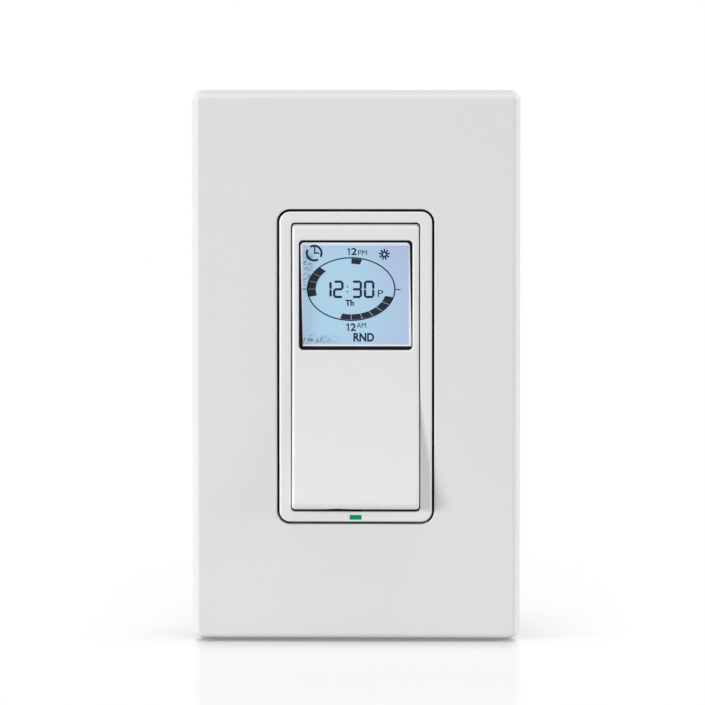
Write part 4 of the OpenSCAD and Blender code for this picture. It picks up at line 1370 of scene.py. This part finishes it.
@dataclass
class DisplayMarks:
    """The marks on the glass: the time in a dial of hours, with words and signs round it.

    Places are counted from a point a little above the display's middle.
    """

    middle: float = 15.31
    levels: Point = (5.98, 6.02)
    dial: Point = (-0.99, 1.12)
    dial_half: Point = (9.4, 6.77)
    dial_line: float = 0.27
    hours_out: Point = (9.15, 6.47)
    hours_in: Point = (7.48, 5.36)
    hour: int = 15
    hours_on: tuple[tuple[int, int, float], ...] = ((75, 1, 0.4), (135, 4, 0.25), (255, 6, 0.4))
    ticks: tuple[Stroke, ...] = (
        ((-11.39, 1.12), (-10.34, 1.12), 0.16, 0.0), ((8.36, 1.02), (9.51, 1.02), 0.2, 0.0))
    digit: Point = (2.24, 3.74)
    digit_low: float = -0.8
    digits: tuple[tuple[float, str], ...] = (
        (-7.34, "bc"), (-4.83, "abged"), (-0.92, "abgcd"), (1.71, "abcdef"))
    bar: float = 0.5
    bar_trim: float = 0.01
    bar_point: float = 0.45
    colon: tuple[Stroke, ...] = (
        ((-1.9, 0.58), (-1.62, 0.58), 0.28, 0.2), ((-1.9, 1.6), (-1.62, 1.6), 0.28, 0.2))
    words: tuple[tuple[str, Box, float], ...] = (
        ("2", (-0.98, 8.33, 0.22, 9.84), 0.025),
        ("PM", (0.5, 8.3, 2.35, 9.38), 0.0),
        ("2", (-1.12, -7.78, 0.0, -6.14), 0.025),
        ("AM", (0.2, -7.1, 2.18, -6.04), 0.0),
        ("Th", (-2.22, -2.45, -0.4, -1.15), 0.04),
        ("P", (4.65, -0.54, 5.78, 0.93), 0.0),
        ("RND", (-0.5, -10.02, 3.88, -8.18), 0.035),
    )
    ones: tuple[Triple, ...] = ((-1.8, 8.33, 1.51), (-2.02, -7.78, 1.64))
    one_shape: tuple[Point, ...] = (
        (0.18, 0.0), (0.34, 0.0), (0.34, 1.0), (0.22, 1.0),
        (0.14, 0.88), (0.0, 0.82), (0.0, 0.7), (0.18, 0.74))
    clock: Point = (-8.82, 8.74)
    clock_radii: Point = (1.78, 1.33)
    clock_arcs: tuple[Point, ...] = ((121, -30), (-57, -207))
    clock_hands: tuple[Stroke, ...] = (
        ((-8.7, 8.66), (-8.7, 10.07), 0.28, 0.0), ((-8.84, 8.74), (-7.76, 8.74), 0.32, 0.0))
    sun: Point = (6.05, 8.48)
    sun_radii: Point = (0.58, 0.31)
    ray_reach: Point = (0.45, 1.18)
    ray_width: float = 0.33
    ray_point: float = 0.2
    rays: int = 9

    def build(self) -> None:
        """Prints the marks."""
        fine = Finish.DISPLAY_FINE_INK
        self.print_marks("display_hours", self.hour_blocks(), Finish.DISPLAY_INK)
        self.print_marks("display_dial", self.dial_ring() + self.strokes(self.ticks), fine)
        self.print_marks("display_time", self.time_digits() + self.strokes(self.colon), fine)
        self.print_marks("display_words", self.lettering(), fine)
        self.print_marks("display_icons", self.clock_icon() + self.sun_icon(), fine)

    def print_marks(self, name: str, marks: list[Workpiece], finish: Finish) -> None:
        """Joins marks into one piece of ink on the glass.

        Args:
            name: The piece's name.
            marks: What it is made of.
            finish: The ink.
        """
        ink = marks[0].joined(*marks[1:]).named(name)
        ink.turned(Matrix.Translation((0, self.middle, 0)))
        ink.seated(Body.ROOT, finish, Slot.DARK_PLASTIC)

    def stroke(self, start: Point, stop: Point, width: float, point: float = 0.0) -> Workpiece:
        """A straight stroke of ink.

        Args:
            start: Middle of one end.
            stop: Middle of the other end.
            width: Its width.
            point: How much its corners are cut, as a share of the width.

        Returns:
            The stroke.
        """
        run = Vector(stop) - Vector(start)
        middle = (Vector(start) + Vector(stop)) / 2
        mark = Workpiece.slab("stroke", (run.length, width), self.levels, width * point, facets=1)
        turn = Matrix.Rotation(math.atan2(run.y, run.x), 4, "Z")
        return mark.turned(Matrix.Translation((*middle, 0)) @ turn)

    def strokes(self, rows: Sequence[Stroke]) -> list[Workpiece]:
        """Several strokes of ink, each told by its ends, width and point."""
        return [self.stroke(*row) for row in rows]

    def band(
        self, middle: Point, outer: Point, inner: Point, start: float, stop: float, steps: int
    ) -> Workpiece:
        """Part of a ring of ink.

        Args:
            middle: The ring's centre.
            outer: Half its width and height outside.
            inner: Half its width and height inside.
            start: The first angle, in degrees.
            stop: The last angle.
            steps: How many straight steps it has.

        Returns:
            The band.
        """
        outside, inside = (ellipse(middle, half, start, stop, steps) for half in (outer, inner))
        return Workpiece.outline("band", outside + inside[::-1], self.levels)

    def dial_ring(self) -> list[Workpiece]:
        """The thin ellipse of the dial, as two halves."""
        slim = tuple(part - self.dial_line for part in self.dial_half)
        return [self.band(self.dial, self.dial_half, slim, a, a + 180, 48) for a in (0, 180)]

    def hour_blocks(self) -> list[Workpiece]:
        """The blocks of the hours that are switched on.

        Returns:
            A mark for each hour.
        """
        blocks = []
        for first, count, gap in self.hours_on:
            for start in range(first, first + count * self.hour, self.hour):
                blocks.append(self.band(self.dial, self.hours_out, self.hours_in, start + gap,
                                        start + self.hour - gap, 6))
        return blocks

    def time_digits(self) -> list[Workpiece]:
        """The time in seven-bar digits.

        Returns:
            A mark for each bar.
        """
        step = Vector((self.digit[0] - self.bar, (self.digit[1] - self.bar) / 2))
        marks = []
        for x, lit in self.digits:
            corner = Vector((x + self.bar / 2, self.digit_low + self.bar / 2))
            for key in lit:
                start, stop = (corner + step * Vector(end) for end in BARS[key])
                trim = (stop - start).normalized() * self.bar_trim
                marks.append(self.stroke(start + trim, stop - trim, self.bar, self.bar_point))
        return marks

    def lettering(self) -> list[Workpiece]:
        """The words and numbers round the dial, with figures one that have a flag.

        Returns:
            A mark for each word or figure.
        """
        marks = [Workpiece.lettering(text, box, self.levels, weight)
                 for text, box, weight in self.words]
        for left, low, tall in self.ones:
            shape = [(left + x * tall, low + y * tall) for x, y in self.one_shape]
            marks.append(Workpiece.outline("one", shape, self.levels))
        return marks

    def clock_icon(self) -> list[Workpiece]:
        """The little clock: two arcs and two hands.

        Returns:
            Its marks.
        """
        outer, inner = ((radius, radius) for radius in self.clock_radii)
        arcs = [self.band(self.clock, outer, inner, a, b, 24) for a, b in self.clock_arcs]
        return arcs + self.strokes(self.clock_hands)

    def sun_icon(self) -> list[Workpiece]:
        """The little sun: a ring and its rays.

        Returns:
            Its marks.
        """
        outer, inner = ((radius, radius) for radius in self.sun_radii)
        marks = [self.band(self.sun, outer, inner, a, a + 180, 16) for a in (0, 180)]
        inside, outside = (arc(self.sun, reach, 90, 450, self.rays) for reach in self.ray_reach)
        for start, stop in list(zip(inside, outside))[:-1]:
            marks.append(self.stroke(start, stop, self.ray_width, self.ray_point))
        return marks


@dataclass
class Indicator:
    """The green light pipe in the frame's lower border."""

    width: float = 2.43
    head: Point = (-32.37, -31.47)
    foot: Point = (-29.2, -28.0)
    levels: Box = (2.7, 4.2, 5.4, 8.0)
    soft: float = 0.06

    def build(self) -> None:
        """Moulds the light pipe with its crank."""
        foot_z, crank_low, crank_top, face = self.levels
        low, high = self.head
        out, inn = self.foot
        points = [(inn, foot_z), (inn, crank_top), (high, crank_top), (high, face), (low, face),
                  (low, crank_low), (out, crank_low), (out, foot_z)]
        pipe = Workpiece.outline("indicator_light_pipe", points, (-self.width / 2, self.width / 2))
        pipe.turned(LENGTHWAYS).softened(self.soft)
        pipe.seated(Body.ROOT, Finish.GREEN_LENS, Slot.GREEN_LENS, "light_pipe")


@dataclass
class KeyPad:
    """The five programming keys behind the pad."""

    middle: float = -10.4
    pitch: float = 7.2
    size: float = 5.4
    corner: float = 1.2
    edge: float = 0.4
    flange: float = 0.4
    levels: Triple = (3.5, 3.9, 6.0)
    mark_levels: Point = (5.95, 6.05)
    mark_soft: float = 0.03
    arrow: tuple[Point, ...] = ((-0.9, -1.2), (1.1, 0.0), (-0.9, 1.2))
    ring: Point = (1.1, 0.65)

    def build(self) -> None:
        """Moulds the keys and their marks."""
        places = {"up": (0, 1, 90), "down": (0, -1, -90), "left": (-1, 0, 180), "right": (1, 0, 0)}
        for name, (x, y, turn) in places.items():
            self.arrow_key(name, (x * self.pitch, self.middle + y * self.pitch), turn)
        self.enter_key((0, self.middle))

    def arrow_key(self, name: str, spot: Point, turn: float) -> None:
        """Moulds a square key with an arrow on it.

        Args:
            name: The way that the arrow points.
            spot: The key's middle.
            turn: How far the arrow is turned from pointing right, in degrees.
        """
        low, flange_top, face = self.levels
        body = Body(f"{name}_key")
        broad = self.size + 2 * self.flange
        key = Workpiece.slab(f"{name}_key_cap", (self.size, self.size), (low, face), self.corner,
                             spot, self.edge)
        key.fitted(Fit.FUSE, Workpiece.slab("flange", (broad, broad), (low, flange_top),
                                            self.corner + self.flange, spot))
        key.seated(body, Finish.KEY_GREY, Slot.KEY_PLASTIC, f"{name}_key")
        arrow = Workpiece.outline(f"{name}_key_mark", self.arrow, self.mark_levels)
        arrow.turned(Matrix.Translation((*spot, 0)) @ Matrix.Rotation(math.radians(turn), 4, "Z"))
        arrow.softened(self.mark_soft).seated(body, Finish.MARK_WHITE, Slot.WHITE_PLASTIC)

    def enter_key(self, spot: Point) -> None:
        """Moulds the round key with a ring on it.

        Args:
            spot: The key's middle.
        """
        low, flange_top, face = self.levels
        radius = self.size / 2
        enter = Workpiece.disc("enter_key_cap", radius, (low, face), spot, self.edge)
        enter.fitted(Fit.FUSE, Workpiece.disc("flange", radius + self.flange, (low, flange_top),
                                              spot))
        enter.seated(Body.ENTER_KEY, Finish.ENTER_GREEN, Slot.ENTER_PLASTIC, "enter_key")
        outer, inner = self.ring
        ring = Workpiece.disc("enter_key_mark", outer, self.mark_levels, spot, self.mark_soft)
        ring.fitted(Fit.CUT, Workpiece.disc("hole", inner, (face - CLEAR, face + CLEAR), spot))
        ring.seated(Body.ENTER_KEY, Finish.MARK_WHITE, Slot.WHITE_PLASTIC)


@dataclass
class Screws:
    """The screws of the switch, with their threads and driver slots."""

    pitch: float = 0.79
    depth: float = 0.36
    thread: float = 1.75
    neck: float = 1.5
    head: float = 3.3
    slot: Triple = (12.0, 0.9, 0.9)
    smooth: float = 50.0
    box_y: float = 41.67
    box_levels: Point = (1.5, 3.5)
    box_edge: float = 2 / 3
    box_neck: Point = (-1.2, 2.0)
    box_thread: Point = (-22.0, -0.45)
    plate_y: float = 48.42
    plate_face: float = 3.0
    plate_cone: float = 1.3
    plate_neck: Point = (-1.0, 2.0)
    plate_thread: Point = (-7.0, 1.6)

    def build(self) -> None:
        """Turns the screws."""
        box = Workpiece.disc("box_screw", self.head, self.box_levels, edge=self.box_edge)
        self.finish_shank(box, self.box_levels[1], self.box_neck, self.box_thread)
        self.pair(box, "wall_box_screws", self.box_y).seated(
            Body.ROOT, Finish.ZINC_PLATE, Slot.ZINC_STEEL, "mounting_screws", smooth=self.smooth)
        low = self.plate_face - self.plate_cone
        flat = Workpiece.disc("plate_screw", self.head, (low, self.plate_face))
        self.countersink(flat, low)
        self.finish_shank(flat, self.plate_face, self.plate_neck, self.plate_thread)
        self.pair(flat, "plate_fixing_screws", self.plate_y).seated(
            Body.ROOT, Finish.SCREW_WHITE, Slot.WHITE_SCREW, "plate_screws", smooth=self.smooth)

    def countersink(self, screw: Workpiece, low: float) -> None:
        """Draws the back of a flat head in to the shank.

        Args:
            screw: The screw's head.
            low: The level of its back.
        """
        share = self.thread / self.head
        with screw.editing(Pick.POINTS, everything=False):
            mesh = bmesh.from_edit_mesh(screw.obj.data)
            for point in mesh.verts:
                point.select_set(abs(point.co.z - low) < NEAR)
            mesh.select_flush_mode()
            bmesh.update_edit_mesh(screw.obj.data)
            bpy.ops.transform.resize(value=(share, share, 1), center_override=(0, 0, low))

    def finish_shank(self, screw: Workpiece, face: float, neck: Point, thread: Point) -> None:
        """Cuts the driver slot, and adds the neck and the thread.

        Args:
            screw: The screw's head.
            face: The level of its face.
            neck: The ends of the neck.
            thread: The ends of the thread.
        """
        *slot, deep = self.slot
        screw.fitted(Fit.CUT, Workpiece.slab("driver_slot", slot, (face - deep, face + CLEAR)))
        screw.fitted(Fit.FUSE, Workpiece.disc("neck", self.neck, neck, facets=32),
                     Workpiece.thread(self.thread, self.depth, self.pitch, thread))

    def pair(self, screw: Workpiece, name: str, y: float) -> Workpiece:
        """Two of a screw, above and below the middle.

        Args:
            screw: The screw, standing on the middle.
            name: The pair's name.
            y: How far from the middle they go.

        Returns:
            Both as one piece.
        """
        lower = screw.copied("lower", Matrix.Translation((0, -y, 0)))
        return screw.turned(Matrix.Translation((0, y, 0))).joined(lower).named(name)


@dataclass
class RearParts:
    """The strap, the rear housing with its terminals, and the sub-plate, with edges broken."""

    back: float = -31.0
    recess: Point = (24.0, 30.0)
    recess_depth: float = 0.35
    recess_corner: float = 1.5
    gauge: Point = (2.4, 12.0)
    gauge_y: float = 24.5
    gauge_depth: float = 0.6
    gauge_corner: float = 1.1
    back_round: float = 0.1
    side: float = 21.4
    pocket: Point = (7.0, 19.0)
    pocket_round: float = 0.15
    parts: tuple[tuple[str, str, float, Finish, Slot], ...] = (
        # The strap's near-black is painted shade for the gap round the frame.
        ("mounting_strap", "mounting_strap_pressing", 0.15, Finish.SHADE_BLACK_STEEL, Slot.BLACK_STEEL),
        ("plate_subframe", "plate_subframe_moulding", 0.15, Finish.COVER_GREY, Slot.GREY_PLASTIC),
        # The front cover's charcoal is painted shade for the gap below the pad.
        ("front_cover", "front_cover_moulding", 0.12, Finish.HOUSING_CHARCOAL,
         Slot.HOUSING_PLASTIC),
        ("screw_retainers", "screw_retainer_sheets", 0.06, Finish.RED_FIBRE, Slot.FIBRE),
        ("ground_screw", "ground_screw_turned", 0.12, Finish.GREEN_DYED_STEEL, Slot.GREEN_SCREW),
        ("housing_screws", "housing_screws_turned", 0.1, Finish.ZINC_PLATE, Slot.ZINC_STEEL),
        ("terminal_plates", "terminal_plate_pressings", 0.1, Finish.BRASS, Slot.BRASS),
        ("terminal_clamps", "terminal_clamp_pressings", 0.14, Finish.ZINC_PLATE, Slot.ZINC_STEEL),
        ("terminal_screws", "terminal_screws_turned", 0.12, Finish.BRASS, Slot.BRASS),
    )

    def build(self) -> None:
        """Finishes the parts that are seen from the sides and from behind."""
        self.finish_housing()
        for node, name, width, finish, slot in self.parts:
            piece = Workpiece.from_node(node, name).softened(width)
            piece.seated(Body.ROOT, finish, slot, node)

    def finish_housing(self) -> None:
        """Sinks a recess and a strip gauge into the housing's back, and breaks its edges."""
        housing = Workpiece.from_node("rear_housing", "rear_housing_moulding")
        outside = self.back - CLEAR
        housing.fitted(
            Fit.CUT,
            Workpiece.slab("recess", self.recess, (outside, self.back + self.recess_depth),
                           self.recess_corner),
            Workpiece.slab("gauge", self.gauge, (outside, self.back + self.gauge_depth),
                           self.gauge_corner, (0, self.gauge_y)),
        )
        half, (low, high) = self.recess[0] / 2 + NEAR, self.pocket
        housing.round_edges(lambda p: abs(p.z - self.back) < NEAR and abs(p.x) < half,
                            self.back_round)
        housing.round_edges(lambda p: abs(p.x) > self.side and low < abs(p.y) < high,
                            self.pocket_round)
        housing.seated(Body.ROOT, Finish.HOUSING_CHARCOAL, Slot.HOUSING_PLASTIC, "rear_housing")


class InnerParts:
    """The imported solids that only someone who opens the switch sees, which keep their shapes."""

    def build(self) -> None:
        """Gives the solids their finishes."""
        rows = {
            Finish.BLACK_PLASTIC: ["pad_switch", "controller_chip", "board_header", "up_plunger",
                                   "down_plunger", "left_plunger", "right_plunger",
                                   "enter_plunger"],
            Finish.LIGHT_GUIDE: ["backlight", "status_led"],
            Finish.CONTACT_RUBBER: ["zebra_strips"],
            Finish.IVORY: ["pad_plunger"],
            Finish.SWITCH_STEEL: ["key_switches"],
            Finish.ZINC_PLATE: ["control_board_screws", "power_board_screws", "clock_crystal"],
            # The hinge pin's near-black is painted shade in the gap round the pad.
            Finish.SHADE_BLACK_STEEL: ["pad_hinge_pin"],
            Finish.CONTROL_LAMINATE: ["control_board"],
            Finish.POWER_LAMINATE: ["power_board"],
            Finish.RELAY_BLUE: ["relay", "surge_varistor"],
            Finish.FILM_YELLOW: ["suppression_capacitor"],
            Finish.DARK_SLEEVE: ["smoothing_capacitor", "backup_capacitor"],
            Finish.COPPER_WINDING: ["power_inductor"],
            Finish.RESIN_GREEN: ["fuse"],
        }
        for finish, names in rows.items():
            for name in names:
                mesh = bpy.data.objects[name].data
                mesh.materials.clear()
                mesh.materials.append(finish.material())
            LOG.info("%s on %s", finish.name.lower(), ", ".join(names))


@dataclass(frozen=True)
class Lamp:
    """A square soft lamp that faces the switch, placed and sized in metres."""

    name: str
    place: Triple
    size: float
    power: float
    mirrored: bool = True

    def hang(self) -> None:
        """Hangs the lamp."""
        bpy.ops.object.select_all(action="DESELECT")
        bpy.ops.object.light_add(type="AREA", location=self.place)
        lamp = bpy.context.active_object
        lamp.name = self.name
        lamp.data.energy = self.power
        lamp.data.size = self.size
        lamp.rotation_euler = (-Vector(self.place)).to_track_quat("-Z", "Y").to_euler()
        lamp.visible_glossy = self.mirrored


@dataclass
class Studio:
    """The pale floor, the soft lamps, the white surroundings and the camera."""

    floor_level: float = -58.52
    floor_side: float = 1.2
    floor_light: Triple = (0.65, 0.65, 0.65)
    floor_gloss: float = 0.85
    floor_roughness: float = 0.12
    floor_index: float = 1.2
    shadow_across: Point = (35.0, 62.0)
    shadow_before: Point = (60.0, 220.0)
    shadow_share: float = 0.8
    surround: float = 0.5
    lamps: tuple[Lamp, ...] = (
        Lamp("left_lamp", (-2.35, -1.45, 0.3), 0.7, 51.5),
        Lamp("right_edge_lamp", (2.5, -0.3, 0.35), 0.8, 31.0, mirrored=False),
        Lamp("top_edge_lamp", (0.0, -0.1, 4.2), 1.7, 62.0),
    )
    aim: Triple = (-0.0008, 0.0, 0.0026)
    azimuth: float = 1.0
    elevation: float = 3.5
    distance: float = 1.1
    view_width: float = 0.1503
    sensor: float = 36.0
    clip_start: float = 0.05

    def build(self) -> None:
        """Sets up the studio."""
        self.lay_floor()
        self.light_surround()
        for lamp in self.lamps:
            lamp.hang()
        self.set_camera()

    def lay_floor(self) -> None:
        """Lays a pale floor with a faint gloss, which is white away from the switch."""
        bpy.ops.object.select_all(action="DESELECT")
        bpy.ops.mesh.primitive_plane_add(size=self.floor_side,
                                         location=(0, 0, self.floor_level * MM))
        floor = bpy.context.active_object
        floor.name = "floor"
        paint = Paint(bpy.data.materials.new("floor_white"))
        seen = paint.seen()
        dull = paint.node("ShaderNodeBsdfDiffuse", None,
                          {"Color": paint.blend(seen, self.floor_light, WHITE)})
        gloss = paint.node("ShaderNodeBsdfGlossy", None,
                           {"Color": WHITE, "Roughness": self.floor_roughness})
        share = paint.signal("ShaderNodeFresnel", None, {"IOR": self.floor_index})
        board = paint.mixed(share * self.floor_gloss, dull, gloss)
        beside = abs(paint.along(Axis.ACROSS)).between(*self.shadow_across)
        before = abs(paint.along(Axis.INWARDS)).between(*self.shadow_before)
        shadow = (1 - beside) * (1 - before) * self.shadow_share
        glow = paint.node("ShaderNodeEmission", None, {"Strength": 1.0})
        whole = paint.mixed(seen * (1 - shadow), board, glow)
        paint.node("ShaderNodeOutputMaterial", None, {"Surface": whole.outputs[0]})
        floor.data.materials.append(paint.owner)

    def light_surround(self) -> None:
        """Makes the surroundings white to look at and softer as a light."""
        paint = Paint(bpy.data.worlds.new("surround"))
        bpy.context.scene.world = paint.owner
        lamp, sight = (
            paint.node("ShaderNodeBackground", None, {"Color": WHITE, "Strength": strength})
            for strength in (self.surround, 1.0))
        whole = paint.mixed(paint.seen(), lamp, sight)
        paint.node("ShaderNodeOutputWorld", None, {"Surface": whole.outputs[0]})

    def set_camera(self) -> None:
        """Puts the camera where the photograph was taken from."""
        turn, tilt = math.radians(self.azimuth), math.radians(self.elevation)
        back = Vector((math.sin(turn) * math.cos(tilt), -math.cos(turn) * math.cos(tilt),
                       math.sin(tilt)))
        bpy.ops.object.camera_add(location=Vector(self.aim) + back * self.distance)
        camera = bpy.context.active_object
        camera.name = "photo_camera"
        camera.rotation_euler = (-back).to_track_quat("-Z", "Y").to_euler()
        camera.data.sensor_width = self.sensor
        camera.data.lens = self.sensor * self.distance / self.view_width
        camera.data.clip_start = self.clip_start
        bpy.context.scene.camera = camera


def main() -> None:
    """Builds the switch piece by piece, then the studio."""
    logging.basicConfig(level=logging.INFO, format="%(message)s")
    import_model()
    bpy.context.scene.view_settings.view_transform = "Standard"
    for finish in Finish:
        LOG.info("mixed %s", finish.material().name)
    assemblies = (WallPlate, BezelFrame, PushPad, Display, DisplayMarks, Indicator, KeyPad, Screws,
                  RearParts, InnerParts, Studio)
    for assembly in assemblies:
        LOG.info("building %s", assembly.__name__)
        assembly().build()


if __name__ == "__main__":
    main()
